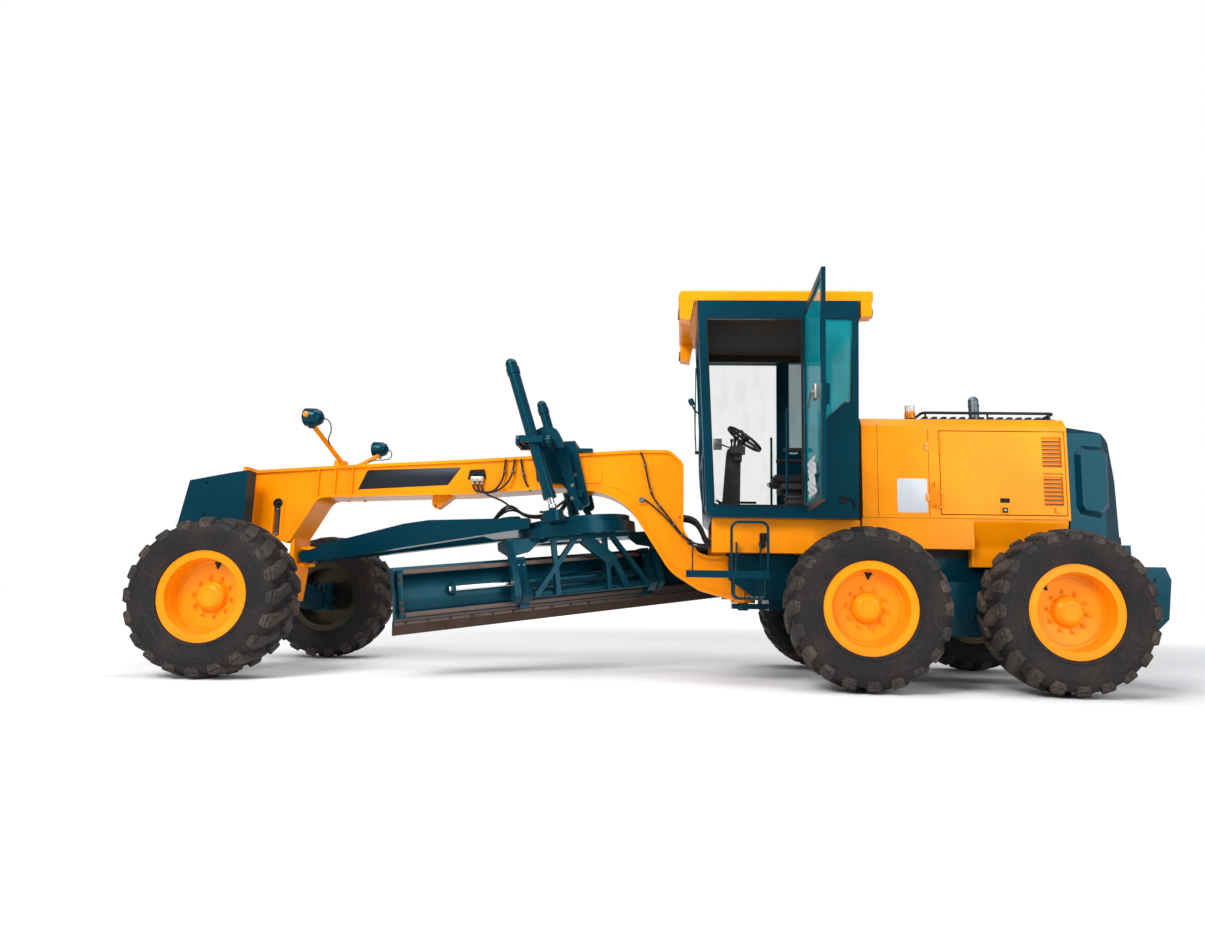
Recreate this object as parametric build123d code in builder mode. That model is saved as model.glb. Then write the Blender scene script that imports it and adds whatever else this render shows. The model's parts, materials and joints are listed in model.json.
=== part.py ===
"""A six-wheel motor grader with an articulated frame, an open left cab door and its blade stored at an angle.

Units are millimetres. +X is forward, +Y is the machine's left, +Z is up.
The origin is on the ground, in the centre plane, under the middle axle.
"""

from build123d import *
from math import cos, radians, sin, tan
import os

# Wheels and axles
TYRE_R = 655  # to the lug tips
TYRE_HALF_WIDTH = 222
LUG_HEIGHT = 38
LUGS_A_SIDE = 18
WHEEL_Y = 1045  # centre plane of every wheel from the machine's centre plane
FRONT_AXLE_X = 5336
TANDEM_SPACING = 1571
FLANGE_R = 371
BARREL_R = 318
RIM_HALF = 178
HUB_R = 115
SPINDLE_R = 59
BEARING_GAP = 1
FIT = 0.3  # gap between pieces that only touch
TOW_PIN_R = 22

# Rear frame
RAIL_IN, RAIL_OUT = 300, 400
RAIL_BOTTOM, RAIL_TOP = 700, 1100
RAIL_FRONT, RAIL_REAR = 1060, -2440
PIVOT_X = 900
PIVOT_PIN_R = 50
ARM_BOTTOM, ARM_TOP = 670, 1100  # the gooseneck's heel between the pivot lugs
LUG_GAP = 6
LUG_THICK = 50

# Cab
CAB_HALF = 670
CAB_WALL = 50
CAB_FLOOR, CAB_SILL, CAB_HEAD, CAB_TOP = 1411, 1516, 3218, 3383
CAB_REAR_BOTTOM, CAB_REAR_TOP = -46, -79
CAB_FRONT_BOTTOM, CAB_FRONT_TOP = 1272, 1368
ROOF_REAR, ROOF_FRONT, ROOF_TOP = -207, 1545, 3492
GLASS = 6
DOOR_THICK = 34
DOOR_GAP = 6
DOOR_HINGE_X = 413
DOOR_BOTTOM, DOOR_TOP = 1462, 3268
DOOR_FRONT_BOTTOM, DOOR_FRONT_TOP = 1258, 1343
DOOR_FRAME = 58
HINGE_PIN_R = 9

# Hood
HOOD_HALF = 560
HOOD_WALL = 30
HOOD_FRONT, HOOD_REAR = -106, -1900
HOOD_BOTTOM, HOOD_TOP = 1432, 2340
HOOD_CHAMFER = 75
HATCH_FRONT, HATCH_REAR = -785, -1880
HATCH_BOTTOM, HATCH_TOP = 1470, 2225
HATCH_GAP = 8
HATCH_HINGE_X, HATCH_HINGE_Y = -797, 564
HATCH_HINGE_R, HATCH_PIN_R = 10, 3.5
HATCH_HINGE_Z = (1600, 2090)

# Tandem cases
CASE_IN, CASE_OUT = 640, 790
CASE_MID_R, CASE_END_R = 225, 190
JOURNAL_R = 100

# Front axle
AXLE_PIN_Z = 700
AXLE_PIN_R = 45
LEAN_Y, LEAN_Z = 760, 600
LEAN_PIN_R = 32
KINGPIN_Y = 880
KINGPIN_R = 32

# Drawbar, circle and blade: the frame that hangs from the nose is tilted
HITCH_X, HITCH_Z = 5090, 1039
TILT = 7.5
CIRCLE_U = 2612  # circle centre behind the hitch, along the drawbar
CIRCLE_R, CIRCLE_BORE_R = 560, 440
CIRCLE_TOP, CIRCLE_BOTTOM = -30, -130
BLADE_ANGLE = 58  # from square, left end forward
BLADE_LEFT, BLADE_RIGHT = 1749, -1651
BLADE_F = -25  # the blade's middle height ahead of the circle's centre
BLADE_TOP, BLADE_BOTTOM = -270, -840
BLADE_THICK = 22
PITCH_F, PITCH_W = -195, -620  # the carriage's pivot, behind the blade

# Lift cylinders
LIFT_Y = 725
LIFT_BALL_X, LIFT_BALL_Z = 2611, 1476
YOKE_X, YOKE_Z = 2802, 2060
LIFT_BARREL_R, LIFT_ROD_R, LIFT_BALL_R = 52, 30, 38
LIFT_LENGTH = 1398
CUP_DROP = 45  # from the ball's centre down to the floor of its cup


def planes_at(origin, x_dir, z_dir):
    """The flat, side and front planes of a frame: the side plane looks to the right, the front one ahead."""
    flat = Plane(origin=origin, x_dir=x_dir, z_dir=z_dir)
    side = Plane(origin=origin, x_dir=x_dir, z_dir=-flat.y_dir)
    front = Plane(origin=origin, x_dir=flat.y_dir, z_dir=flat.x_dir)
    return flat, side, front


def block(flat, x, y, z, mode=Mode.ADD):
    """A box between pairs of coordinates of a flat plane."""
    with BuildSketch(flat.offset(z[0])) as outline:
        with Locations(((x[0] + x[1]) / 2, (y[0] + y[1]) / 2)):
            Rectangle(abs(x[1] - x[0]), abs(y[1] - y[0]))
    extrude(outline.sketch, amount=z[1] - z[0], mode=mode)


def face_of(sketch, points, inset=0):
    """Fill a sketch with a polygon; a point may carry a third number, the radius of its corner."""
    with BuildLine() as edge:
        Polyline(*[point[:2] for point in points], close=True)
    make_face(edge.edges())
    for point in points:
        if len(point) == 3:
            corner = sketch.vertices().sort_by_distance((point[0], point[1], 0))[0]
            fillet(corner, point[2])
    if inset:
        offset(amount=-inset, kind=Kind.INTERSECTION, mode=Mode.REPLACE)


def plate(plane, points, span, mode=Mode.ADD, inset=0):
    """A polygon of a plane, extruded from span[0] to span[1] along its normal."""
    with BuildSketch(plane.offset(span[0])) as outline:
        face_of(outline, points, inset)
    extrude(outline.sketch, amount=span[1] - span[0], mode=mode)


def taper(plane, foot, top, span):
    """A block whose outline changes from foot to top, both polygons of a plane."""
    with BuildSketch(plane.offset(span[0])) as first:
        face_of(first, foot)
    with BuildSketch(plane.offset(span[1])) as last:
        face_of(last, top)
    loft([first.sketch, last.sketch], ruled=True)


def bar(plane, start, end, width, span):
    """A flat bar between two points of a plane."""
    along = Vector(end[0] - start[0], end[1] - start[1], 0).normalized() * (width / 2)
    side_x, side_y = -along.Y, along.X
    plate(plane, [
        (start[0] + side_x, start[1] + side_y), (end[0] + side_x, end[1] + side_y),
        (end[0] - side_x, end[1] - side_y), (start[0] - side_x, start[1] - side_y),
    ], span)


def bent_tube(plane, points, bend, radius):
    """A bent tube through the points of a plane."""
    with BuildLine(plane) as path:
        FilletPolyline(*points, radius=bend)
    with BuildSketch(Plane(origin=path.line @ 0, z_dir=path.line % 0)) as section:
        Circle(radius)
    sweep(section.sketch, path=path.line)


def rod(plane, centre, radius, span, mode=Mode.ADD):
    """A round bar about a point of a plane, from span[0] to span[1] along its normal."""
    with BuildSketch(plane.offset(span[0])) as outline:
        with Locations(centre):
            Circle(radius)
    extrude(outline.sketch, amount=span[1] - span[0], mode=mode)


def ball(centre, radius, mode=Mode.ADD):
    """A sphere at a point of the machine."""
    with Locations(centre):
        Sphere(radius, mode=mode)


def write(piece, name):
    """Label a finished piece and write it."""
    piece.part.label = name
    export_step(piece.part, f"parts/{name}.step")


def both_sides(span):
    """The same span on the left and on the right, along the side plane's normal."""
    return [(-span[1], -span[0]), (span[0], span[1])]


os.makedirs("parts", exist_ok=True)

TANDEM_X = -TANDEM_SPACING / 2
FLAT, SIDE, FRONT = planes_at((0, 0, 0), (1, 0, 0), (0, 0, 1))
SIDES = [("left", 1), ("right", -1)]


# Wheels: name, axle place, side
WHEELS = [
    (f"{place}_{side}", x, sign)
    for place, x in [("front", FRONT_AXLE_X), ("middle", 0), ("rear", -TANDEM_SPACING)]
    for side, sign in SIDES
]


def gear_outline(scale, turn):
    """A toothed ring's outline: four corners for each lug, the flat of a lug low enough to reach the ground."""
    pitch = 360 / LUGS_A_SIDE
    lug = 0.46 * pitch
    tip = TYRE_R / cos(radians(lug / 2))
    root = TYRE_R - LUG_HEIGHT
    corners = [(-0.62 * lug, root), (-0.5 * lug, tip), (0.5 * lug, tip), (0.62 * lug, root)]
    return [
        (scale * r * sin(radians(i * pitch + turn + a)), scale * r * cos(radians(i * pitch + turn + a)))
        for i in range(LUGS_A_SIDE)
        for a, r in corners
    ]


CARCASS_SIDES = 30
BEAD_R = (FLANGE_R + FIT) / cos(radians(180 / CARCASS_SIDES))
for name, x, sign in WHEELS:
    centre = (x, sign * WHEEL_Y, TYRE_R)
    flat, side, front = planes_at(centre, (1, 0, 0), (0, 0, 1))
    with BuildPart() as tyre:
        for half, turn in [(1, 0), (-1, 180 / LUGS_A_SIDE)]:
            with BuildSketch(side) as crown:
                with BuildLine():
                    Polyline(*gear_outline(1, turn), close=True)
                make_face()
            with BuildSketch(side.offset(half * 205)) as shoulder:
                with BuildLine():
                    Polyline(*gear_outline(0.96, turn), close=True)
                make_face()
            loft([crown.sketch, shoulder.sketch], ruled=True)
            with BuildSketch(side.offset(half * 190)) as wall_in:
                RegularPolygon(575, CARCASS_SIDES)
            with BuildSketch(side.offset(half * TYRE_HALF_WIDTH)) as wall_out:
                RegularPolygon(490, CARCASS_SIDES)
            with BuildSketch(side.offset(half * (RIM_HALF + 4))) as bead:
                RegularPolygon(BEAD_R, CARCASS_SIDES)
            loft([wall_in.sketch, wall_out.sketch], ruled=True)
            loft([wall_out.sketch, bead.sketch], ruled=True, mode=Mode.SUBTRACT)
        with BuildSketch(side.offset(-TYRE_HALF_WIDTH)) as bore:
            RegularPolygon(BEAD_R, CARCASS_SIDES)
        extrude(bore.sketch, amount=2 * TYRE_HALF_WIDTH, mode=Mode.SUBTRACT)
    write(tyre, f"tyre_{name}")

    # Rim section: radius, distance outwards from the wheel's centre plane
    section = [
        (0, 42), (SPINDLE_R + BEARING_GAP, 42), (SPINDLE_R + BEARING_GAP, -60), (HUB_R, -60),
        (HUB_R, -12), (BARREL_R - 14, -12), (BARREL_R - 14, -RIM_HALF), (FLANGE_R, -RIM_HALF),
        (FLANGE_R, -RIM_HALF + 14), (BARREL_R, -140), (BARREL_R, 140), (FLANGE_R, RIM_HALF - 14),
        (FLANGE_R, RIM_HALF), (BARREL_R - 12, RIM_HALF), (BARREL_R - 28, 40), (130, 22),
        (112, 62), (90, 84), (0, 84),
    ]
    with BuildPart() as rim:
        with BuildSketch(flat):
            with BuildLine():
                Polyline(*[(r, sign * y) for r, y in section], close=True)
            make_face()
        revolve(axis=Axis(centre, (0, 1, 0)))
    write(rim, f"rim_{name}")

# Tandem cases: a chain case on each side, swinging on the rear axle's journal
for name, sign in SIDES:
    y_in, y_out = -sign * CASE_IN, -sign * CASE_OUT
    axle_side = Plane(origin=(TANDEM_X, 0, TYRE_R), x_dir=(1, 0, 0), z_dir=(0, -1, 0))
    with BuildPart() as case:
        with BuildSketch(axle_side.offset(y_in)) as outline:
            with BuildLine():
                half = TANDEM_SPACING / 2
                Polyline(
                    (0, CASE_MID_R), (half, CASE_END_R), (half + 120, CASE_END_R - 50),
                    (half + CASE_END_R, 0), (half + 120, -CASE_END_R + 50), (half, -CASE_END_R),
                    (0, -CASE_MID_R), (-half, -CASE_END_R), (-half - 120, -CASE_END_R + 50),
                    (-half - CASE_END_R, 0), (-half - 120, CASE_END_R - 50), (-half, CASE_END_R),
                    close=True,
                )
            make_face()
        extrude(outline.sketch, amount=y_out - y_in)
        for x in (half, -half):
            rod(axle_side, (x, 0), 150, (y_out, y_out - sign * 40))
            rod(axle_side, (x, 0), SPINDLE_R, (y_out, -sign * (WHEEL_Y + 34)))
        rod(axle_side, (0, 0), 170, (y_out, y_out - sign * 20))
        rod(axle_side, (0, 0), JOURNAL_R + BEARING_GAP, (y_in, y_in - sign * 70), mode=Mode.SUBTRACT)
    write(case, f"tandem_{name}")

# Rear axle: a housing across the frame, with a journal into each tandem case
with BuildPart() as rear_axle:
    axle_side = Plane(origin=(TANDEM_X, 0, TYRE_R), x_dir=(1, 0, 0), z_dir=(0, -1, 0))
    rod(axle_side, (0, 0), 120, (-CASE_IN + 5, CASE_IN - 5))
    rod(axle_side, (0, 0), JOURNAL_R, (-CASE_IN - 65, CASE_IN + 65))
    ball((TANDEM_X, 0, TYRE_R), 230)
    for span in both_sides((RAIL_OUT + FIT, CASE_IN - 5)):
        rod(axle_side, (0, 0), 165, span)
write(rear_axle, "rear_axle")

# Rear frame: two rails, the pivot lugs, the axle saddle, cab posts, hood brackets and the rear platform
SADDLE_R = 120 + 0.5
with BuildPart() as rear_frame:
    for span in both_sides((RAIL_IN, RAIL_OUT)):
        plate(SIDE, [
            (RAIL_FRONT, 880), (RAIL_FRONT, RAIL_TOP), (RAIL_REAR, RAIL_TOP), (RAIL_REAR, 760),
            (-1300, 560), (-300, 560), (250, RAIL_BOTTOM), (800, RAIL_BOTTOM),
        ], span)
        for x in (50, 1000):
            block(FLAT, (x - 45, x + 45), span, (RAIL_TOP, CAB_FLOOR - FIT))
    block(FLAT, (560, 690), (-RAIL_IN, RAIL_IN), (RAIL_BOTTOM - 90, RAIL_TOP + 60))
    for low in (ARM_BOTTOM - LUG_GAP - LUG_THICK, ARM_TOP + LUG_GAP):
        block(FLAT, (600, PIVOT_X), (-110, 110), (low, low + LUG_THICK))
        rod(FLAT, (PIVOT_X, 0), 110, (low, low + LUG_THICK))
    rod(FLAT, (PIVOT_X, 0), PIVOT_PIN_R,
        (ARM_BOTTOM - LUG_GAP - LUG_THICK - 15, ARM_TOP + LUG_GAP + LUG_THICK + 15))
    block(FLAT, (-1400, -1250), (-RAIL_IN, RAIL_IN), (700, 1000))
    block(FLAT, (RAIL_REAR, -1920), (-480, 480), (RAIL_TOP - 60, 1232))
    rod(Plane(origin=(TANDEM_X, 0, TYRE_R), x_dir=(1, 0, 0), z_dir=(0, -1, 0)), (0, 0),
        SADDLE_R, (-RAIL_OUT, RAIL_OUT), mode=Mode.SUBTRACT)
write(rear_frame, "rear_frame")

# Rear bumper: a cast weight across the tail
with BuildPart() as bumper:
    plate(SIDE, [(RAIL_REAR - FIT, 700), (RAIL_REAR - FIT, 1040), (-2651, 1040), (-2694, 933),
                 (-2653, 596), (-2564, 511), (-2500, 620)], (-600, 600))
    tow_x = -2625
    block(FLAT, (-2700, -2560), (-90, 90), (500, 640), mode=Mode.SUBTRACT)
    block(FLAT, (-2700, -2560), (-90, 90), (700, 790), mode=Mode.SUBTRACT)
    block(FLAT, (-2700, -2560), (-90, 90), (850, 1050), mode=Mode.SUBTRACT)
    rod(FLAT, (tow_x, 0), TOW_PIN_R, (600, 900), mode=Mode.SUBTRACT)
write(bumper, "rear_bumper")

# Boxes beside the frame, under the cab and under the front of the hood
with BuildPart() as boxes:
    for span in both_sides((RAIL_OUT + FIT, 560)):
        plate(SIDE, [(-80, 1113), (1217, 1113), (1217, CAB_FLOOR - FIT), (-80, CAB_FLOOR - FIT)], span)
        plate(SIDE, [(-1066, 1170), (-100, 1170), (-100, HOOD_BOTTOM - FIT), (-1066, HOOD_BOTTOM - FIT)], span)
        block(FLAT, (-101, -79), (span[0], span[1]), (1180, 1300))
    for sign in (1, -1):
        inner, low, high = sign * (RAIL_OUT + FIT), sign * 480, sign * 556
        plate(FRONT, [(inner, 1021), (low, 1021), (low, 1215), (high, 1398), (high, HOOD_BOTTOM - FIT),
                      (inner, HOOD_BOTTOM - FIT)], (-1880, -1065))
write(boxes, "side_boxes")

# Steps up to each door: a platform on the left, rungs on the right, where the stored blade comes close
STEP_TUBE = 12
with BuildPart() as steps:
    near = SIDE.offset(-885)
    bent_tube(near, [(1065, 915), (1065, 1350), (760, 1350), (760, 915)], 60, STEP_TUBE)
    bent_tube(near, [(1045, 915), (1045, 712), (785, 712), (785, 915)], 50, STEP_TUBE)
    bent_tube(SIDE.offset(-715), [(1045, 915), (1045, 712), (785, 712), (785, 915)], 50, STEP_TUBE)
    block(FLAT, (747, 1443), (600, 900), (905, 925))
    block(FLAT, (747, 1443), (888, 900), (880, 940))
    for x in (790, 1000, 1380):
        block(FLAT, (x, x + 12), (560 + FIT, 640), (915, 1200))
    block(FLAT, (797, 1033), (706, 894), (704, 720))
    for x in (757, 1060):
        block(FLAT, (x, x + 10), (-650, -560 - FIT), (700, 1350))
    for z in (700, 930, 1160):
        block(FLAT, (757, 1070), (-650, -570), (z, z + 20))
write(steps, "access_steps")

# Cab shell: the side outline extruded and hollowed, then the windows and door openings cut
cab_outline = [(CAB_REAR_BOTTOM, CAB_FLOOR), (CAB_FRONT_BOTTOM - 50, CAB_FLOOR), (CAB_FRONT_BOTTOM, CAB_FLOOR + 50),
               (CAB_FRONT_TOP, CAB_TOP), (CAB_REAR_TOP, CAB_TOP)]
cab_inside = [(CAB_REAR_BOTTOM + CAB_WALL, CAB_FLOOR + CAB_WALL), (CAB_FRONT_BOTTOM - CAB_WALL, CAB_FLOOR + CAB_WALL),
              (CAB_FRONT_TOP - CAB_WALL, CAB_TOP - CAB_WALL), (CAB_REAR_TOP + CAB_WALL, CAB_TOP - CAB_WALL)]
door_opening = [(434, CAB_SILL), (1205, CAB_SILL), (1286, CAB_HEAD), (434, CAB_HEAD)]
quarter_window = [(0, 2440), (60, 2440), (285, 2225), (370, 2225), (370, CAB_HEAD), (-24, CAB_HEAD)]
with BuildPart() as cab:
    plate(SIDE, cab_outline, (-CAB_HALF, CAB_HALF))
    plate(SIDE, cab_inside, (-CAB_HALF + CAB_WALL, CAB_HALF - CAB_WALL), mode=Mode.SUBTRACT)
    plate(SIDE, door_opening, (-CAB_HALF, CAB_HALF), mode=Mode.SUBTRACT)
    plate(SIDE, quarter_window, (-CAB_HALF, CAB_HALF), mode=Mode.SUBTRACT)
    windscreen = FRONT.offset(CAB_FRONT_BOTTOM - 100)
    plate(windscreen, [(-590, 2080), (590, 2080), (590, CAB_HEAD), (-590, CAB_HEAD)], (0, 300), mode=Mode.SUBTRACT)
    for y in (-340, 340):
        plate(windscreen, [(y - 230, 1540), (y + 230, 1540), (y + 230, 2020), (y - 230, 2020)], (0, 300),
              mode=Mode.SUBTRACT)
    plate(FRONT.offset(-200), [(-540, 2480), (540, 2480), (540, CAB_HEAD), (-540, CAB_HEAD)], (0, 260),
          mode=Mode.SUBTRACT)
    for sign in (1, -1):
        for z in (1700, 2320, 2960):
            for low in (z - 42, z + 34):
                block(FLAT, (DOOR_HINGE_X - 22, DOOR_HINGE_X + 6), (sign * (CAB_HALF - 1), sign * (CAB_HALF + 36)),
                      (low, low + 8))
            rod(FLAT, (DOOR_HINGE_X, sign * (CAB_HALF + DOOR_GAP + DOOR_THICK / 2)), HINGE_PIN_R, (z - 42, z + 42))
write(cab, "cab_shell")

# Cab glass, set into the windows
with BuildPart() as glass:
    for span in both_sides((CAB_HALF - 25, CAB_HALF - 25 + GLASS)):
        with BuildSketch(SIDE.offset(span[0])) as pane:
            with BuildLine():
                Polyline(*quarter_window, close=True)
            make_face()
            offset(amount=-FIT, mode=Mode.REPLACE)
        extrude(pane.sketch, amount=GLASS)
    lean = (CAB_FRONT_TOP - CAB_FRONT_BOTTOM) / (CAB_TOP - CAB_FLOOR)
    for y, half, low, high in [(0, 590, 2080, CAB_HEAD), (-340, 230, 1540, 2020), (340, 230, 1540, 2020)]:
        foot = CAB_FRONT_BOTTOM + lean * (low - CAB_FLOOR) - 25
        head = CAB_FRONT_BOTTOM + lean * (high - CAB_FLOOR) - 25
        plate(SIDE, [(foot, low + FIT), (foot + GLASS, low + FIT), (head + GLASS, high - FIT), (head, high - FIT)],
              (-y - half + FIT, -y + half - FIT))
    block(FLAT, (CAB_REAR_BOTTOM, CAB_REAR_BOTTOM + GLASS), (-540 + FIT, 540 - FIT), (2480 + FIT, CAB_HEAD - FIT))
write(glass, "cab_glass")

# Roof with its lamp pods
with BuildPart() as roof:
    plate(SIDE, [(ROOF_REAR, CAB_TOP + FIT), (ROOF_FRONT - 20, CAB_TOP + FIT, 20), (ROOF_FRONT, CAB_TOP + 40, 25),
                 (ROOF_FRONT - 35, ROOF_TOP, 45), (ROOF_REAR + 12, ROOF_TOP, 25), (ROOF_REAR, ROOF_TOP - 35)],
          (-CAB_HALF - 2, CAB_HALF + 2))
    for sign in (1, -1):
        plate(FRONT, [(sign * (CAB_HALF - 28), ROOF_TOP + 5), (sign * (CAB_HALF + 9), ROOF_TOP + 5),
                      (sign * (CAB_HALF + 9), ROOF_TOP - 32)], (ROOF_REAR - 5, ROOF_FRONT + 5), mode=Mode.SUBTRACT)
    for span in both_sides((540, CAB_HALF)):
        plate(SIDE, [(1400, CAB_TOP + 1), (1432, 3200), (1530, 3215), (1530, CAB_TOP + 1)], span)
        plate(SIDE, [(-195, CAB_TOP + 1), (-195, 3240), (-100, 3235), (-100, CAB_TOP + 1)], span)
write(roof, "cab_roof")

# Lamps and the beacon
with BuildPart() as lamps:
    for y in (-605, 605):
        rod(FRONT, (y, 3275), 48, (1530 + FIT, 1548))
        rod(FRONT, (y, 3290), 40, (-213, -195 - FIT))
    rod(FLAT, (-593, 380), 45, (HOOD_TOP + FIT, HOOD_TOP + 150))
write(lamps, "work_lamps")

# Seat
with BuildPart() as seat:
    block(FLAT, (180, 520), (-170, 170), (CAB_FLOOR + CAB_WALL + FIT, 1780))
    plate(SIDE, [(120, 1780), (660, 1780), (680, 1830), (640, 1880), (180, 1870), (90, 2480), (0, 2500),
                 (60, 1850)], (-250, 250))
    for span in both_sides((255, 320)):
        plate(SIDE, [(130, 2060), (560, 2060), (560, 2110), (130, 2110)], span)
        block(FLAT, (130, 180), (-span[0], -span[1]), (1800, 2062))
    for span in both_sides((249, 300)):
        block(FLAT, (130, 180), span, (1790, 1840))
write(seat, "operator_seat")

# Steering column, wheel and lever consoles
with BuildPart() as console:
    plate(SIDE, [(940, CAB_FLOOR + CAB_WALL + FIT), (1110, CAB_FLOOR + CAB_WALL + FIT), (1060, 2120), (930, 2180)],
          (-110, 110))
    column = Plane(origin=(950, 0, 2160), x_dir=(cos(radians(35)), 0, sin(radians(35))),
                   z_dir=(-sin(radians(35)), 0, cos(radians(35))))
    rod(column, (0, 0), 28, (-60, 110))
    with BuildSketch(column.offset(95)) as hoop:
        Circle(195)
        Circle(168, mode=Mode.SUBTRACT)
        Rectangle(350, 40)
    extrude(hoop.sketch, amount=22)
    for y in (-200, 200):
        block(FLAT, (900, 1040), (y - 45, y + 45), (2060, 2130))
        for dx in (-35, 0, 35):
            rod(FLAT, (965 + dx, y), 9, (2125, 2260))
    block(FLAT, (930, 1010), (-200, 200), (2000, 2070))
write(console, "steering_console")


# Cab doors: the frame round one pane, drawn closed on the side plane; the left one stands open
def door_outline(margin=0):
    return [(DOOR_HINGE_X + 22 + margin, DOOR_BOTTOM + margin), (DOOR_FRONT_BOTTOM - margin, DOOR_BOTTOM + margin),
            (DOOR_FRONT_TOP - margin, DOOR_TOP - margin), (DOOR_HINGE_X + 22 + margin, DOOR_TOP - margin)]


for name, sign in SIDES:
    middle = CAB_HALF + DOOR_GAP + DOOR_THICK / 2
    if sign == 1:
        door_side = Plane(origin=(DOOR_HINGE_X, middle, 0), x_dir=(0, 1, 0), z_dir=(1, 0, 0))
    else:
        door_side = Plane(origin=(DOOR_HINGE_X, -middle, 0), x_dir=(1, 0, 0), z_dir=(0, -1, 0))
    shut = [(x - DOOR_HINGE_X, z) for x, z in door_outline()]
    pane = [(x - DOOR_HINGE_X, z) for x, z in door_outline(DOOR_FRAME)]
    knuckle = Plane(origin=(DOOR_HINGE_X, sign * middle, 0), x_dir=(1, 0, 0), z_dir=(0, 0, 1))
    with BuildPart() as door:
        plate(door_side, shut, (-DOOR_THICK / 2, DOOR_THICK / 2))
        plate(door_side, pane, (-DOOR_THICK / 2, DOOR_THICK / 2), mode=Mode.SUBTRACT)
        for z in (1700, 2320, 2960):
            plate(door_side, [(0, z - 30), (26, z - 30), (26, z + 30), (0, z + 30)], (-8, 8))
            rod(knuckle, (0, 0), HINGE_PIN_R + 8, (z - 30, z + 30))
            rod(knuckle, (0, 0), HINGE_PIN_R + 0.5, (z - 30, z + 30), mode=Mode.SUBTRACT)
        out = -sign
        plate(door_side, [(822, 2150), (862, 2150), (868, 2400), (828, 2400)],
              (out * (DOOR_THICK / 2 - 1), out * (DOOR_THICK / 2 + 8)))
        plate(door_side, [(832, 2200), (852, 2200), (856, 2360), (836, 2360)],
              (out * (DOOR_THICK / 2 + 7), out * (DOOR_THICK / 2 + 34)))
    write(door, f"door_{name}")
    with BuildPart() as door_glass:
        with BuildSketch(door_side.offset(-GLASS / 2)) as sheet:
            with BuildLine():
                Polyline(*pane, close=True)
            make_face()
            offset(amount=-FIT, mode=Mode.REPLACE)
        extrude(sheet.sketch, amount=GLASS)
    write(door_glass, f"door_glass_{name}")

# Hood: a hollow cover with a bevelled top and an opening for each side hatch
hood_section = [(-HOOD_HALF, HOOD_BOTTOM), (-HOOD_HALF, HOOD_TOP - HOOD_CHAMFER), (-HOOD_HALF + 60, HOOD_TOP),
                (HOOD_HALF - 60, HOOD_TOP), (HOOD_HALF, HOOD_TOP - HOOD_CHAMFER), (HOOD_HALF, HOOD_BOTTOM)]
hood_inside = [(-HOOD_HALF + HOOD_WALL, HOOD_BOTTOM), (-HOOD_HALF + HOOD_WALL, HOOD_TOP - HOOD_CHAMFER - 12),
               (-HOOD_HALF + 75, HOOD_TOP - HOOD_WALL), (HOOD_HALF - 75, HOOD_TOP - HOOD_WALL),
               (HOOD_HALF - HOOD_WALL, HOOD_TOP - HOOD_CHAMFER - 12), (HOOD_HALF - HOOD_WALL, HOOD_BOTTOM)]
with BuildPart() as hood:
    plate(FRONT, hood_section, (HOOD_REAR, HOOD_FRONT))
    plate(FRONT, hood_inside, (HOOD_REAR, HOOD_FRONT - HOOD_WALL), mode=Mode.SUBTRACT)
    plate(SIDE, [(HATCH_FRONT, HATCH_BOTTOM), (HATCH_FRONT, HATCH_TOP), (HATCH_REAR, HATCH_TOP),
                 (HATCH_REAR, HATCH_BOTTOM)], (-HOOD_HALF, HOOD_HALF), mode=Mode.SUBTRACT)
    for sign in (1, -1):
        for z in HATCH_HINGE_Z:
            lug = [(-2.2, -1), (0, -3.5), (12.5, -3.5), (12.5, -6), (22, -6), (22, 10), (-2.2, 10)]
            corners = [(HATCH_HINGE_X + x, sign * (HATCH_HINGE_Y + y)) for x, y in lug]
            for low in (z - 76, z + 61):
                plate(FLAT, corners, (low, low + 15))
            rod(FLAT, (HATCH_HINGE_X, sign * HATCH_HINGE_Y), HATCH_PIN_R, (z - 70, z + 70))
write(hood, "hood")

# Side hatches, hinged at their front edge, with a louvred grille let in near the back
for name, sign in SIDES:
    outer, inner = -sign * HOOD_HALF, -sign * (HOOD_HALF - HOOD_WALL)
    with BuildPart() as hatch:
        plate(SIDE, [(HATCH_FRONT - HATCH_GAP, HATCH_BOTTOM + HATCH_GAP), (HATCH_FRONT - HATCH_GAP, HATCH_TOP - HATCH_GAP),
                     (HATCH_REAR + HATCH_GAP, HATCH_TOP - HATCH_GAP), (HATCH_REAR + HATCH_GAP, HATCH_BOTTOM + HATCH_GAP)],
              (inner, outer))
        for low, high in [(1560, 1850), (1900, 2170)]:
            block(FLAT, (-1850, -1680), (-outer, -outer + sign * -20), (low, high), mode=Mode.SUBTRACT)
            rows = int((high - low) / 36)
            for i in range(rows):
                z = low + 18 + i * 36
                plate(SIDE, [(-1850, z - 10), (-1680, z - 10), (-1680, z + 8), (-1850, z + 8)],
                      (outer + sign * 20, outer + sign * 4))
        for z in HATCH_HINGE_Z:
            rod(FLAT, (HATCH_HINGE_X, sign * HATCH_HINGE_Y), HATCH_HINGE_R, (z - 60, z + 60))
            rod(FLAT, (HATCH_HINGE_X, sign * HATCH_HINGE_Y), HATCH_PIN_R + FIT, (z - 60, z + 60), mode=Mode.SUBTRACT)
        block(FLAT, (-1800, -1770), (sign * (HOOD_HALF - 1), sign * (HOOD_HALF + 18)), (1500, 1545))
    write(hatch, f"hood_hatch_{name}")

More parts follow.
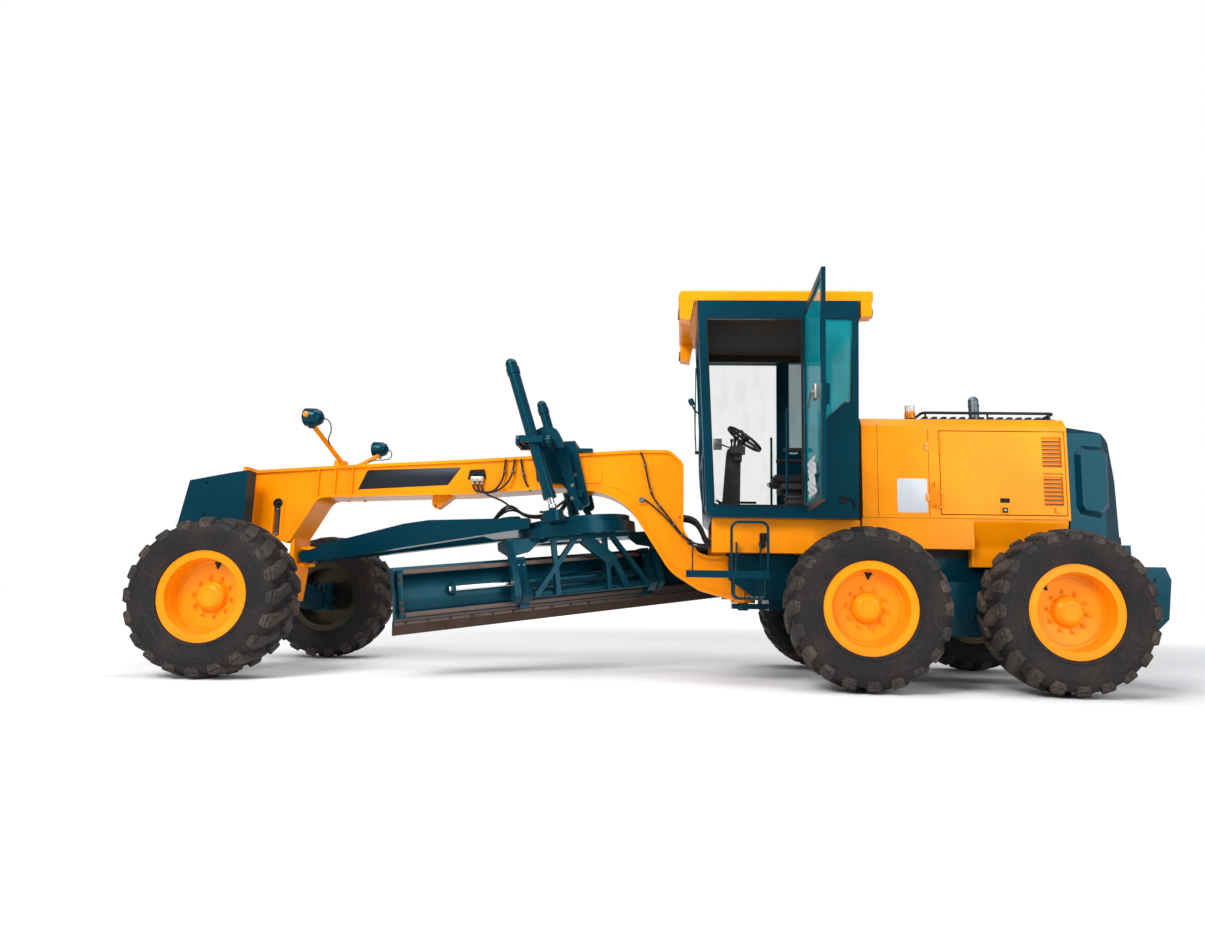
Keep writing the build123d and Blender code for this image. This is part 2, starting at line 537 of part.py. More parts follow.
# Intake grille on top of the hood, and the exhaust pipe
with BuildPart() as grille:
    block(FLAT, (-1890, -690), (-400, 400), (HOOD_TOP + FIT, HOOD_TOP + 30))
    for i in range(14):
        x = -1860 + i * 85
        block(FLAT, (x, x + 40), (-380, 380), (HOOD_TOP + 29, HOOD_TOP + 55))
    RAIL_Z, RAIL_R = HOOD_TOP + 88, 13
    for y in (-400, 400):
        for x in (-1840, -1290, -730):
            rod(FLAT, (x, y * 0.97), 9, (HOOD_TOP + 25, RAIL_Z))
    bent_tube(FLAT.offset(RAIL_Z), [(-1900 + 20, 0), (-1880, -388), (-700, -388), (-700, 388), (-1880, 388), (-1880, 10)],
         40, RAIL_R)
write(grille, "intake_grille")

with BuildPart() as exhaust:
    with BuildLine():
        path = Line((-1323, 0, HOOD_TOP + 55 + FIT), (-1318, 0, 2640))
        JernArc(path @ 1, path % 1, 150, 55)
    with BuildSketch(Plane(origin=path @ 0, z_dir=path % 0)):
        Circle(48)
    sweep(transition=Transition.ROUND)
write(exhaust, "exhaust_stack")

# Rear cowl round the radiator
COWL_HALF = 540
scoop_foot = [(-2024, 2105), (-2200, 2090), (-2256, 2022), (-2245, 1560), (-2160, 1458), (-1995, 1495), (-1962, 1556),
              (-1965, 2025)]
scoop_top = [(-2040, 2060), (-2180, 2050), (-2215, 2005), (-2205, 1585), (-2150, 1510), (-2020, 1530), (-1998, 1575),
             (-2000, 2010)]
with BuildPart() as cowl:
    plate(SIDE, [(HOOD_REAR - FIT, 1232 + FIT), (HOOD_REAR - FIT, 2284), (-2200, 2222, 200), (-2290, 2150, 80),
                 (-2356, 1806, 400), (-2379, 1232 + FIT)], (-COWL_HALF, COWL_HALF))
    for sign in (1, -1):
        for corners in [[(-2420, sign * 400), (-2420, sign * 600), (-2180, sign * 600), (-2210, sign * COWL_HALF)]]:
            plate(FLAT, corners, (1232, 2300), mode=Mode.SUBTRACT)
        plate(FRONT, [(sign * (COWL_HALF - 70), 2300), (sign * 600, 2300), (sign * 600, 2180),
                      (sign * COWL_HALF, 2215)], (-2500, HOOD_REAR), mode=Mode.SUBTRACT)
        taper(SIDE, scoop_foot, scoop_top, (-sign * (COWL_HALF - 1), -sign * (COWL_HALF + 45)))
    for i in range(10):
        z = 1330 + i * 75
        block(FLAT, (-2420, -2310), (-380, 380), (z, z + 30), mode=Mode.SUBTRACT)
write(cowl, "rear_cowl")

# Engine, one plain block on the rails
with BuildPart() as engine:
    block(FLAT, (-1750, -650), (-330, 330), (RAIL_TOP + FIT, 1950))
write(engine, "engine_block")

# Main beam: the gooseneck's outline from the nose to the pivot, with pockets between its flanges
beam_outline = [
    (5623, 1294), (5646, 1854), (4881, 1907), (3426, 1992), (2275, 2072), (1893, 2098), (1607, 2098, 110),
    (1475, 1975, 110), (1470, 1340, 180), (1330, 1130, 100), (1230, ARM_TOP), (PIVOT_X, ARM_TOP),
    (PIVOT_X, ARM_BOTTOM), (1309, 774, 300), (1590, 944, 400), (2062, 1669, 590), (2646, 1721), (3505, 1652),
    (4971, 1600, 120), (5215, 1175, 60), (5262, 1164),
]
BEAM_WEB, BEAM_FLANGE, FLANGE_THICK = 150, 175, 28
seam = [(2176, 1966), (2016, 1949, 200), (1857, 1871, 200), (1740, 1650, 300), (1664, 1495), (1406, 1151, 60),
        (1375, 1010, 60), (1440, 960, 40), (1545, 985, 60), (2010, 1706, 300), (2176, 1740)]
cover = [(2250, 1775, 45), (2510, 1775, 45), (2510, 1950, 45), (2250, 1950, 45)]
slot_frame = [(5300, 1195, 30), (5435, 1195, 30), (5435, 1512), (5300, 1512)]
slot = [(5335, 1225, 18), (5400, 1225, 18), (5400, 1500), (5335, 1500)]
RIB_X = (4980, 4815, 4650)
with BuildPart() as beam:
    plate(SIDE, beam_outline, (-BEAM_FLANGE, BEAM_FLANGE))
    for sign, span in zip((1, -1), both_sides((BEAM_WEB, BEAM_FLANGE))):
        web = -sign * BEAM_WEB
        plate(SIDE, beam_outline, span, mode=Mode.SUBTRACT, inset=FLANGE_THICK)
        plate(SIDE, seam, (web, web - sign * 7))
        plate(SIDE, cover, (web, web - sign * 9))
        for x in RIB_X:
            block(FLAT, (x, x + 16), (-web, -web + sign * 22), (1600, 1885))
        plate(SIDE, slot_frame, (web, web - sign * 8))
        rod(SIDE, (5367, 1541), 62, (web, web - sign * 8))
        rod(SIDE, (5367, 1541), 46, (web + sign * 40, web - sign * 9), mode=Mode.SUBTRACT)
        plate(SIDE, slot, (web + sign * 30, web - sign * 9), mode=Mode.SUBTRACT)
        rod(SIDE, (1864, 1615), 44, (web, web - sign * 26))
        rod(SIDE, (1864, 1615), 30, (web - sign * 8, web - sign * 27), mode=Mode.SUBTRACT)
    plate(SIDE, [(3900, 1650), (3905, 1560, 30), (3865, 1510, 30), (3800, 1560, 40), (3690, 1652)], (-60, 60))
    rod(SIDE, (3865, 1548), 16, (-61, 61), mode=Mode.SUBTRACT)
    rod(FLAT, (PIVOT_X, 0), BEAM_FLANGE - 60, (ARM_BOTTOM, ARM_TOP))
    block(FLAT, (PIVOT_X - 130, PIVOT_X), (-BEAM_FLANGE, BEAM_FLANGE), (ARM_BOTTOM - 1, ARM_TOP + 1),
          mode=Mode.SUBTRACT)
    rod(FLAT, (PIVOT_X, 0), BEAM_FLANGE - 60, (ARM_BOTTOM, ARM_TOP))
    rod(FLAT, (PIVOT_X, 0), PIVOT_PIN_R + 0.5, (ARM_BOTTOM, ARM_TOP), mode=Mode.SUBTRACT)
    # Nose flange and the two plates that carry the axle pin and the drawbar lugs
    plate(SIDE, [(5618, 1250), (5650, 1250), (5650, 1870), (5618, 1870)], (-300, 300))
    for x0, x1, top in [(5176, 5216, 1400), (5480, 5520, 1400)]:
        plate(FRONT, [(-150, top), (150, top), (150, 900), (90, 610), (-90, 610), (-150, 900)], (x0, x1))
    rod(FRONT, (0, AXLE_PIN_Z), AXLE_PIN_R, (5160, 5530))
    for z in (HITCH_Z - 95, HITCH_Z + 66):
        block(FLAT, (HITCH_X, 5180), (-50, 50), (z, z + 29))
        rod(FLAT, (HITCH_X, 0), 50, (z, z + 29))
    rod(FLAT, (HITCH_X, 0), 30, (HITCH_Z - 100, HITCH_Z + 100))
write(beam, "main_beam")



def beam_top(x):
    """Height of the beam's sloping top at a place."""
    for first, last in zip(beam_outline, beam_outline[1:]):
        if last[0] <= x <= first[0] and first[1] > 1800:
            return first[1] + (first[0] - x) * (last[1] - first[1]) / (first[0] - last[0])


# Front counterweight
with BuildPart() as weight:
    plate(SIDE, [(5650 + FIT, 1292), (6134, 1292), (6055, 1712), (5650 + FIT, 1791)], (-450, 450))
    for span in both_sides((310, 450)):
        plate(SIDE, [(5514, 1330), (5660, 1292), (5660, 1789), (5514, 1813)], span)
    block(FLAT, (5990, 6140), (-90, 90), (1352, 1440), mode=Mode.SUBTRACT)
    block(FLAT, (5990, 6140), (-90, 90), (1500, 1800), mode=Mode.SUBTRACT)
    rod(FLAT, (6050, 0), TOW_PIN_R, (1280, 1510), mode=Mode.SUBTRACT)
write(weight, "front_counterweight")

# Saddle over the beam: a cranked arm on each side carries the lift yoke and comes down beside the beam
ARM_IN, ARM_OUT = 470, 560
LEG_IN, LEG_OUT = 300, 350
arm_outline = [(2965, 2040, 20), (2950, 2125, 40), (2750, 2228, 60), (2632, 2212, 60), (2577, 2110, 40),
               (2570, 2035, 20), (2731, 2030, 20)]
leg_outline = [(2700, 2095, 20), (2560, 2095, 20), (2505, 1850), (2455, 1627), (2380, 1500, 20), (2440, 1490, 20),
               (2540, 1640), (2600, 1850)]
with BuildPart() as saddle:
    for span in both_sides((BEAM_FLANGE + FIT, BEAM_FLANGE + 45)):
        plate(SIDE, [(2900, 2110, 30), (2500, 2140, 30), (2350, 1560, 40), (2440, 1530, 40), (2620, 1760, 80),
                     (2860, 1760, 40)], span)
    for span in both_sides((LEG_IN, LEG_OUT)):
        plate(SIDE, leg_outline, span)
    for span in both_sides((BEAM_FLANGE + 40, LEG_IN + 10)):
        block(FLAT, (2410, 2500), (span[0], span[1]), (1620, 1690))
    for span in both_sides((ARM_IN, ARM_OUT)):
        plate(SIDE, arm_outline, span)
    for span in both_sides((BEAM_FLANGE + 40, ARM_IN + 10)):
        plate(SIDE, [(2880, 2035, 20), (2880, 2110, 30), (2740, 2170, 40), (2640, 2160, 40), (2600, 2040, 20)], span)
    plate(SIDE, [(2900, 2110 + FIT), (2500, 2138 + FIT), (2500, 2170, 20), (2880, 2140, 20)],
          (-BEAM_FLANGE - 45, BEAM_FLANGE + 45))
    plate(SIDE, [(2900, beam_top(2900) + FIT), (2500, beam_top(2500) + FIT), (2500, 2150), (2900, 2120)],
          (-BEAM_FLANGE - 45, BEAM_FLANGE + 45))
    block(FLAT, (2345, 2500), (BEAM_FLANGE - 60, BEAM_FLANGE + 30), (beam_top(2345) + FIT, 2100))
    for sign in (1, -1):
        block(FLAT, (YOKE_X - 150, YOKE_X + 150), (sign * (LIFT_Y - 200), sign * (LIFT_Y - 150)), (2010, 2110))
        for x in (YOKE_X - 150, YOKE_X + 120):
            plate(FRONT, [(sign * (LIFT_Y - 160), 2015), (sign * (LIFT_Y + 45), 2015, 40),
                          (sign * (LIFT_Y + 45), 2105, 40), (sign * (LIFT_Y - 160), 2105)], (x, x + 30))
            rod(FRONT, (sign * LIFT_Y, YOKE_Z), 22.5, (x, x + 30), mode=Mode.SUBTRACT)
write(saddle, "lift_saddle")

# Headlamps on their stalks
with BuildPart() as headlamps:
    for sign in (1, -1):
        plate(SIDE, [(4740, beam_top(4740) + FIT), (4840, beam_top(4840) + FIT), (4840, 1960), (4740, 1960)],
              (-sign * 100, -sign * 175))
        stalk_dir = Vector(10, sign * 590, 240)
        stalk = Plane(origin=(4780, sign * 150, 1946), x_dir=(1, 0, 0), z_dir=stalk_dir)
        rod(stalk, (0, 0), 22, (0, 640))
        rod(FLAT, (4795, sign * 735), 18, (2165, 2215))
        rod(FRONT, (sign * 735, 2250), 78, (4760, 4850))
write(headlamps, "headlamps")

# Front axle: an arched beam with its pivot boss and an eye at each end
with BuildPart() as axle:
    plate(FRONT, [(-640, 520), (-300, 560), (0, 590), (300, 560), (640, 520), (640, 690), (300, 790), (130, 830),
                  (-130, 830), (-300, 790), (-640, 690)], (FRONT_AXLE_X - 95, FRONT_AXLE_X + 95))
    rod(FRONT, (0, AXLE_PIN_Z), 110, (FRONT_AXLE_X - 110, FRONT_AXLE_X + 110))
    rod(FRONT, (0, AXLE_PIN_Z), AXLE_PIN_R + 0.5, (FRONT_AXLE_X - 110, FRONT_AXLE_X + 110), mode=Mode.SUBTRACT)
    for sign in (1, -1):
        block(FLAT, (FRONT_AXLE_X - 65, FRONT_AXLE_X + 65), (sign * 600, sign * LEAN_Y), (LEAN_Z - 52, LEAN_Z + 52))
        rod(FRONT, (sign * LEAN_Y, LEAN_Z), 52, (FRONT_AXLE_X - 65, FRONT_AXLE_X + 65))
        rod(FRONT, (sign * LEAN_Y, LEAN_Z), LEAN_PIN_R + 0.5, (FRONT_AXLE_X - 65, FRONT_AXLE_X + 65), mode=Mode.SUBTRACT)
write(axle, "front_axle")

for name, sign in SIDES:
    y = sign * KINGPIN_Y
    with BuildPart() as bracket:
        for x0 in (FRONT_AXLE_X - 102, FRONT_AXLE_X + 72):
            plate(FRONT, [(sign * (LEAN_Y - 50), LEAN_Z - 40), (sign * (LEAN_Y - 30), LEAN_Z - 60),
                          (sign * (KINGPIN_Y - 45), 505), (sign * (KINGPIN_Y - 45), 805), (sign * (LEAN_Y + 30), 805),
                          (sign * (LEAN_Y - 50), LEAN_Z + 40)], (x0, x0 + 30))
        rod(FRONT, (sign * LEAN_Y, LEAN_Z), LEAN_PIN_R, (FRONT_AXLE_X - 110, FRONT_AXLE_X + 110))
        for z in (505, 775):
            block(FLAT, (FRONT_AXLE_X - 102, FRONT_AXLE_X + 102), (sign * (KINGPIN_Y - 60), sign * (KINGPIN_Y + 8)), (z, z + 30))
            rod(FLAT, (FRONT_AXLE_X, y), 55, (z, z + 30))
        rod(FLAT, (FRONT_AXLE_X, y), KINGPIN_R, (505, 805))
    write(bracket, f"lean_bracket_{name}")
    with BuildPart() as knuckle:
        rod(FLAT, (FRONT_AXLE_X, y), 58, (541, 769))
        wheel_side = Plane(origin=(FRONT_AXLE_X, 0, TYRE_R), x_dir=(1, 0, 0), z_dir=(0, sign, 0))
        rod(wheel_side, (0, 0), SPINDLE_R, (KINGPIN_Y, WHEEL_Y + 34))
        rod(FLAT, (FRONT_AXLE_X, y), KINGPIN_R + 0.5, (541, 769), mode=Mode.SUBTRACT)
    write(knuckle, f"steering_knuckle_{name}")

# The tilted frame of the drawbar: x forward, y left, z square to the drawbar's plane
tilt_x = Vector(cos(radians(TILT)), 0, -sin(radians(TILT)))
tilt_z = Vector(sin(radians(TILT)), 0, cos(radians(TILT)))
HITCH = Vector(HITCH_X, 0, HITCH_Z)
DB_FLAT, DB_SIDE, DB_FRONT = planes_at(HITCH, tilt_x, tilt_z)

with BuildPart() as pivot_block:
    block(FLAT, (HITCH_X - 52, HITCH_X + 52), (-55, 55), (HITCH_Z - 58, HITCH_Z + 58))
    rod(SIDE, (HITCH_X, HITCH_Z), 28, (-110, 110))
    rod(FLAT, (HITCH_X, 0), 30.5, (HITCH_Z - 58, HITCH_Z + 58), mode=Mode.SUBTRACT)
write(pivot_block, "drawbar_pivot")

# Drawbar: a fork at the hitch, two side beams spreading to the circle, a carrier ring and the lift arms
ball_u = -(LIFT_BALL_X - HITCH_X) * cos(radians(TILT)) + (LIFT_BALL_Z - HITCH_Z) * sin(radians(TILT))
ball_w = (LIFT_BALL_X - HITCH_X) * sin(radians(TILT)) + (LIFT_BALL_Z - HITCH_Z) * cos(radians(TILT))
with BuildPart() as drawbar:
    for sign in (1, -1):
        rod(DB_SIDE, (0, 0), 58, (sign * 62, sign * 110))
        plate(DB_SIDE, [(0, -50), (0, 50), (-200, 80), (-200, -55)], (sign * 62, sign * 110))
        with BuildSketch(DB_FLAT.offset(-58)) as foot:
            with BuildLine():
                Polyline((-150, sign * 20), (-150, sign * 110), (-420, sign * 170), (-2100, sign * 480), (-2250, sign * 480),
                         (-2250, sign * 380), (-2100, sign * 370), (-420, sign * 60), (-300, sign * 20), close=True)
            make_face()
        extrude(foot.sketch, amount=235)
    block(DB_FLAT, (-330, -150), (-25, 25), (-58, 100))
    plate(DB_SIDE, [(-140, 95), (-300, 105), (-1175, 190), (-2300, 60), (-2300, 400), (-140, 400)], (-700, 700),
          mode=Mode.SUBTRACT)
    plate(DB_SIDE, [(-140, -70), (-140, -60), (-1175, -42), (-2300, -26), (-2300, -70)], (-700, 700),
          mode=Mode.SUBTRACT)
    with BuildSketch(DB_FLAT.offset(-26)) as carrier:
        with Locations((-CIRCLE_U, 0)):
            Circle(515)
            Circle(400, mode=Mode.SUBTRACT)
    extrude(carrier.sketch, amount=60)
    with BuildSketch(DB_FLAT.offset(CIRCLE_BOTTOM + 30)) as spigot:
        with Locations((-CIRCLE_U, 0)):
            Circle(CIRCLE_BORE_R - 0.9)
            Circle(400, mode=Mode.SUBTRACT)
    extrude(spigot.sketch, amount=80)
    block(DB_FLAT, (-ball_u - 70, -ball_u + 70), (-LIFT_Y - 60, LIFT_Y + 60), (-20, ball_w - 60))
    for sign in (1, -1):
        rod(DB_FLAT, (-ball_u, sign * LIFT_Y), 90, (-20, ball_w - CUP_DROP + 8))
        rod(DB_FLAT, (-ball_u, sign * LIFT_Y), 72, (ball_w - CUP_DROP, ball_w), mode=Mode.SUBTRACT)
        rod(DB_SIDE, (0, 0), 28.5, (sign * 60, sign * 112), mode=Mode.SUBTRACT)
    # Circle drive gearbox on a deck between the beams
    block(DB_FLAT, (-CIRCLE_U + 480, -CIRCLE_U + 860), (-420, 420), (-20, 20))
    rod(DB_FLAT, (-CIRCLE_U + 640, 0), 105, (-20, 150))
write(drawbar, "drawbar")

# Circle: the toothed ring, two curved horns and the cross tube that the blade carriage turns on
tilted_centre = HITCH - tilt_x * CIRCLE_U
blade_x = tilt_x * cos(radians(BLADE_ANGLE)) - Vector(0, 1, 0) * sin(radians(BLADE_ANGLE))
BL_FLAT, BL_SIDE, BL_FRONT = planes_at(tilted_centre, blade_x, tilt_z)
HORN_IN, HORN_OUT = 700, 760
TRUSS_WIDTH = 42
TRUSS_SPAN = (PITCH_F - 90, PITCH_F - 40)
# Bars behind the blade: top and its height, foot on the pitch tube
TRUSS = [(364, -150, 364), (-151, -150, -151), (150, -150, 560), (-231, -150, -560)]
with BuildPart() as circle:
    with BuildSketch(BL_FLAT.offset(CIRCLE_BOTTOM)) as ring:
        Circle(CIRCLE_R)
        Circle(CIRCLE_BORE_R, mode=Mode.SUBTRACT)
    extrude(ring.sketch, amount=CIRCLE_TOP - CIRCLE_BOTTOM)
    for sign in (1, -1):
        block(BL_FLAT, (-150, 120), (sign * 420, sign * HORN_OUT), (CIRCLE_BOTTOM - 30, CIRCLE_BOTTOM + 20))
        plate(BL_SIDE, [(120, CIRCLE_BOTTOM), (120, -180), (20, -215), (-125, -262), (-150, -400), (-158, -500),
                        (PITCH_F + 50, PITCH_W + 20), (PITCH_F + 50, PITCH_W - 35), (PITCH_F, PITCH_W - 65),
                        (PITCH_F - 60, PITCH_W), (-225, -400), (-150, CIRCLE_BOTTOM)],
              (-sign * HORN_IN, -sign * HORN_OUT))
        plate(BL_FRONT, [(sign * 430, CIRCLE_BOTTOM), (sign * HORN_OUT, CIRCLE_BOTTOM), (sign * HORN_OUT, -400),
                         (sign * HORN_IN, -440), (sign * HORN_IN, -262), (sign * 560, -235)], (-150, -126))
    for b_top, w_top, b_foot in TRUSS:
        bar(BL_FRONT, (b_top, w_top), (b_foot, PITCH_W), TRUSS_WIDTH, TRUSS_SPAN)
        block(BL_FLAT, (PITCH_F - 90, PITCH_F), (b_foot - 25, b_foot + 25), (PITCH_W - 25, PITCH_W + 25))
    bar(BL_FRONT, (60, -150), (-230, -400), 120, TRUSS_SPAN)
    bar(BL_FRONT, (-230, -395), (-330, PITCH_W), 60, TRUSS_SPAN)
    block(BL_FLAT, (PITCH_F - 90, PITCH_F), (-355, -305), (PITCH_W - 25, PITCH_W + 25))
    block(BL_FLAT, (PITCH_F - 90, -120), (-420, 420), (CIRCLE_BOTTOM - 30, CIRCLE_BOTTOM + 20))
    block(BL_FLAT, (-150, -100), (-HORN_OUT, HORN_OUT), (CIRCLE_BOTTOM - 30, CIRCLE_BOTTOM + 20))
    rod(BL_SIDE, (PITCH_F, PITCH_W), 35, (-HORN_OUT - 15, HORN_OUT + 15))
write(circle, "circle")

# Blade carriage: an ear on each side, jaws for the slide rails and the side-shift barrel
SHIFT_F, SHIFT_W = BLADE_F - 85, -500
SHIFT_BARREL_R, SHIFT_ROD_R = 45, 24
EAR_IN, EAR_OUT = 600, 685


def blade_points(points):
    """Points given ahead of the blade's middle height, moved into the circle's frame."""
    return [(f + BLADE_F, w) for f, w in points]


with BuildPart() as carriage:
    for sign in (1, -1):
        span = (-sign * EAR_IN, -sign * EAR_OUT)
        plate(BL_SIDE, blade_points([(-62, -300), (-62, -690), (-110, -700), (-170, PITCH_W - 60),
                                     (-228, PITCH_W), (-170, PITCH_W + 60), (-110, -300)]), span)
        plate(BL_SIDE, blade_points([(-110, -301), (-110, -272), (-20, -272), (-20, -296), (-62, -296), (-62, -301)]),
              span)
        plate(BL_SIDE, blade_points([(-110, -689), (-110, -730), (-35, -730), (-35, -706), (-62, -706), (-62, -689)]),
              span)
    rod(BL_SIDE, (SHIFT_F, SHIFT_W), SHIFT_BARREL_R, (-690, 690))
    rod(BL_SIDE, (SHIFT_F, SHIFT_W), SHIFT_ROD_R + 1, (-691, 680), mode=Mode.SUBTRACT)
    rod(BL_SIDE, (PITCH_F, PITCH_W), 36, (-700, 700), mode=Mode.SUBTRACT)
write(carriage, "blade_carriage")

# Moldboard: a curved plate with two slide rails and its side-shift bracket
SHIFT_EYE = 1250
MOLD_R = 432  # radius of the blade's curve, about a point ahead of its middle height
MOLD_MID = -540


def mold_front(w):
    """How far ahead the blade's curved face is at a height."""
    return MOLD_R - (MOLD_R ** 2 - (w - MOLD_MID) ** 2) ** 0.5


BLADE_FOOT = BLADE_BOTTOM + 80
with BuildPart() as moldboard:
    with BuildSketch(BL_SIDE.offset(-BLADE_LEFT)) as curve:
        with BuildLine():
            face = [(mold_front(w) + BLADE_F, w) for w in (BLADE_TOP, MOLD_MID, BLADE_FOOT)]
            back = [(f - BLADE_THICK, w) for f, w in face]
            ThreePointArc(*face)
            Line(face[2], back[2])
            ThreePointArc(*back[::-1])
            Line(back[0], face[0])
        make_face()
    extrude(curve.sketch, amount=BLADE_LEFT - BLADE_RIGHT)
    rail_span = (-BLADE_LEFT + 40, -BLADE_RIGHT - 40)
    plate(BL_SIDE, blade_points([(60, -303), (-57, -303), (-57, -345), (36, -345)]), rail_span)
    plate(BL_SIDE, blade_points([(3, -660), (-57, -660), (-57, -700), (20, -700)]), rail_span)
    plate(BL_SIDE, blade_points([(0, -445), (-57, -445), (-110, -465), (-120, -500), (-110, -535), (-57, -555),
                                 (-10, -555)]), (-SHIFT_EYE - 30, -SHIFT_EYE + 10))
    rod(BL_SIDE, (SHIFT_F, SHIFT_W), SHIFT_ROD_R + FIT, (-SHIFT_EYE - 31, -SHIFT_EYE + 11), mode=Mode.SUBTRACT)
write(moldboard, "moldboard")

with BuildPart() as edge:
    seat_points = [(mold_front(w) + FIT, w) for w in (-720, -740, BLADE_FOOT)]
    plate(BL_SIDE, blade_points(seat_points + [(88, BLADE_BOTTOM), (106, BLADE_BOTTOM), (79, BLADE_FOOT), (60, -722)]),
          (-BLADE_LEFT, -BLADE_RIGHT))
write(edge, "cutting_edge")

with BuildPart() as shift_rod:
    rod(BL_SIDE, (SHIFT_F, SHIFT_W), SHIFT_ROD_R, (-SHIFT_EYE - 45, 0))
write(shift_rod, "side_shift_rod")

# Lift cylinders: a yoke ring on the saddle, the barrel through it and the rod with its ball
lift_dir = Vector(YOKE_X - LIFT_BALL_X, 0, YOKE_Z - LIFT_BALL_Z).normalized()
for name, sign in SIDES:
    y = sign * LIFT_Y
    with BuildPart() as yoke:
        block(FLAT, (YOKE_X - 100, YOKE_X + 100), (y - 92, y + 92), (YOKE_Z - 30, YOKE_Z + 30))
        block(FLAT, (YOKE_X - 75, YOKE_X + 75), (y - 66, y + 66), (YOKE_Z - 31, YOKE_Z + 31), mode=Mode.SUBTRACT)
        for span in ((YOKE_X - 150, YOKE_X - 99), (YOKE_X + 99, YOKE_X + 150)):
            rod(FRONT, (y, YOKE_Z), 22, span)
        rod(SIDE, (YOKE_X, YOKE_Z), 18.5, (-y - 93, -y + 93), mode=Mode.SUBTRACT)
    write(yoke, f"lift_yoke_{name}")
    cylinder = Plane(origin=(LIFT_BALL_X, y, LIFT_BALL_Z), x_dir=(0, 1, 0), z_dir=lift_dir)
    with BuildPart() as barrel:
        rod(cylinder, (0, 0), LIFT_BARREL_R, (75, LIFT_LENGTH - LIFT_BARREL_R))
        ball(cylinder.origin + lift_dir * (LIFT_LENGTH - LIFT_BARREL_R), LIFT_BARREL_R)
        for start in (75, LIFT_LENGTH - 150):
            rod(cylinder, (0, 0), LIFT_BARREL_R + 7, (start, start + 60))
        rod(SIDE, (YOKE_X, YOKE_Z), 18, (-y - 90, -y + 90))
        rod(cylinder, (0, 0), LIFT_ROD_R + 1, (70, LIFT_LENGTH - 70), mode=Mode.SUBTRACT)
    write(barrel, f"lift_barrel_{name}")
    with BuildPart() as lift_rod:
        rod(cylinder, (0, 0), LIFT_ROD_R, (10, LIFT_LENGTH - 110))
        ball((LIFT_BALL_X, y, LIFT_BALL_Z), LIFT_BALL_R)
    write(lift_rod, f"lift_rod_{name}")
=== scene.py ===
# %% [markdown]
# # Motor grader: the looks
#
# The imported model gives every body, size and place. This notebook keeps that frame, gives each CAD node a
# bevelled skin and a painted, worn material, and adds what is too small for the solids: tread, bolts, hoses,
# lamps, seals, seat cushions and trim. All lengths are metres; +X is forward, +Y the machine's left, +Z up.

# %% Load the frame
import json
import math
import random

import bmesh
import bpy
from mathutils import Matrix, Vector
from mathutils.bvhtree import BVHTree


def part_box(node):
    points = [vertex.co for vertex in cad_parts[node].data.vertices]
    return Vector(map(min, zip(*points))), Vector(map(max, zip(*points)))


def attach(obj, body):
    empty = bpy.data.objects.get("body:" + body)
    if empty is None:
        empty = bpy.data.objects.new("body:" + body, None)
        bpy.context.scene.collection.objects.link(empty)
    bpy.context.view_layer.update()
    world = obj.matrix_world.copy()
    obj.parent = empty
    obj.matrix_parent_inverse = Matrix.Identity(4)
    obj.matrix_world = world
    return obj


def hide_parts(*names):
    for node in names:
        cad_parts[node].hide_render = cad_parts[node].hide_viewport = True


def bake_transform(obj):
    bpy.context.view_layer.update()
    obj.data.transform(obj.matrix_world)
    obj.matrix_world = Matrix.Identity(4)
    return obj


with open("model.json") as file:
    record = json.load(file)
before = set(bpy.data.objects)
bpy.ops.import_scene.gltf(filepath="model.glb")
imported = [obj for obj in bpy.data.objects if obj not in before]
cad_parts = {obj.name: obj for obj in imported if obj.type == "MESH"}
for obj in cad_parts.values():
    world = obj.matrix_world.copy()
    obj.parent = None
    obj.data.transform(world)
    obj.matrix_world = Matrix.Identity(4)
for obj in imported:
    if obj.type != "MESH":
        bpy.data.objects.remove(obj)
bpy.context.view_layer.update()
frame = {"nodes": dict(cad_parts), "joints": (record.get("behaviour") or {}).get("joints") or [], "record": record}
NODES = frame["nodes"]
RECORD = frame["record"]
BODY_OF = {name: body for body, names in RECORD["behaviour"]["bodies"].items() for name in names}
JOINTS = {joint["name"]: joint for joint in frame["joints"]}
SIDES = (("left", 1), ("right", -1))  # a side's name and the sign of its Y
random.seed(7)

# %% [markdown]
# ## Camera, light and floor
#
# The camera was solved from the photograph. The camera sees a white background, directly and through glass. All
# other rays, reflections among them, get a softer world, so the light on the machine stays even.

# %% Camera at the photograph's place
CAMERA_AT = (1.45746, 7.12975, 0.72009)
YAW, PITCH, ROLL = math.radians(2.1279), math.radians(7.6847), math.radians(1.0152)
FOCAL_PX, WIDTH_PX, HEIGHT_PX = 744.797, 1205, 928
CENTRE_PX = (657.77, 495.60)
SENSOR_MM = 36


def turned(a, b, angle):
    """Two unit vectors turned towards each other by an angle."""
    return a * math.cos(angle) + b * math.sin(angle), b * math.cos(angle) - a * math.sin(angle)


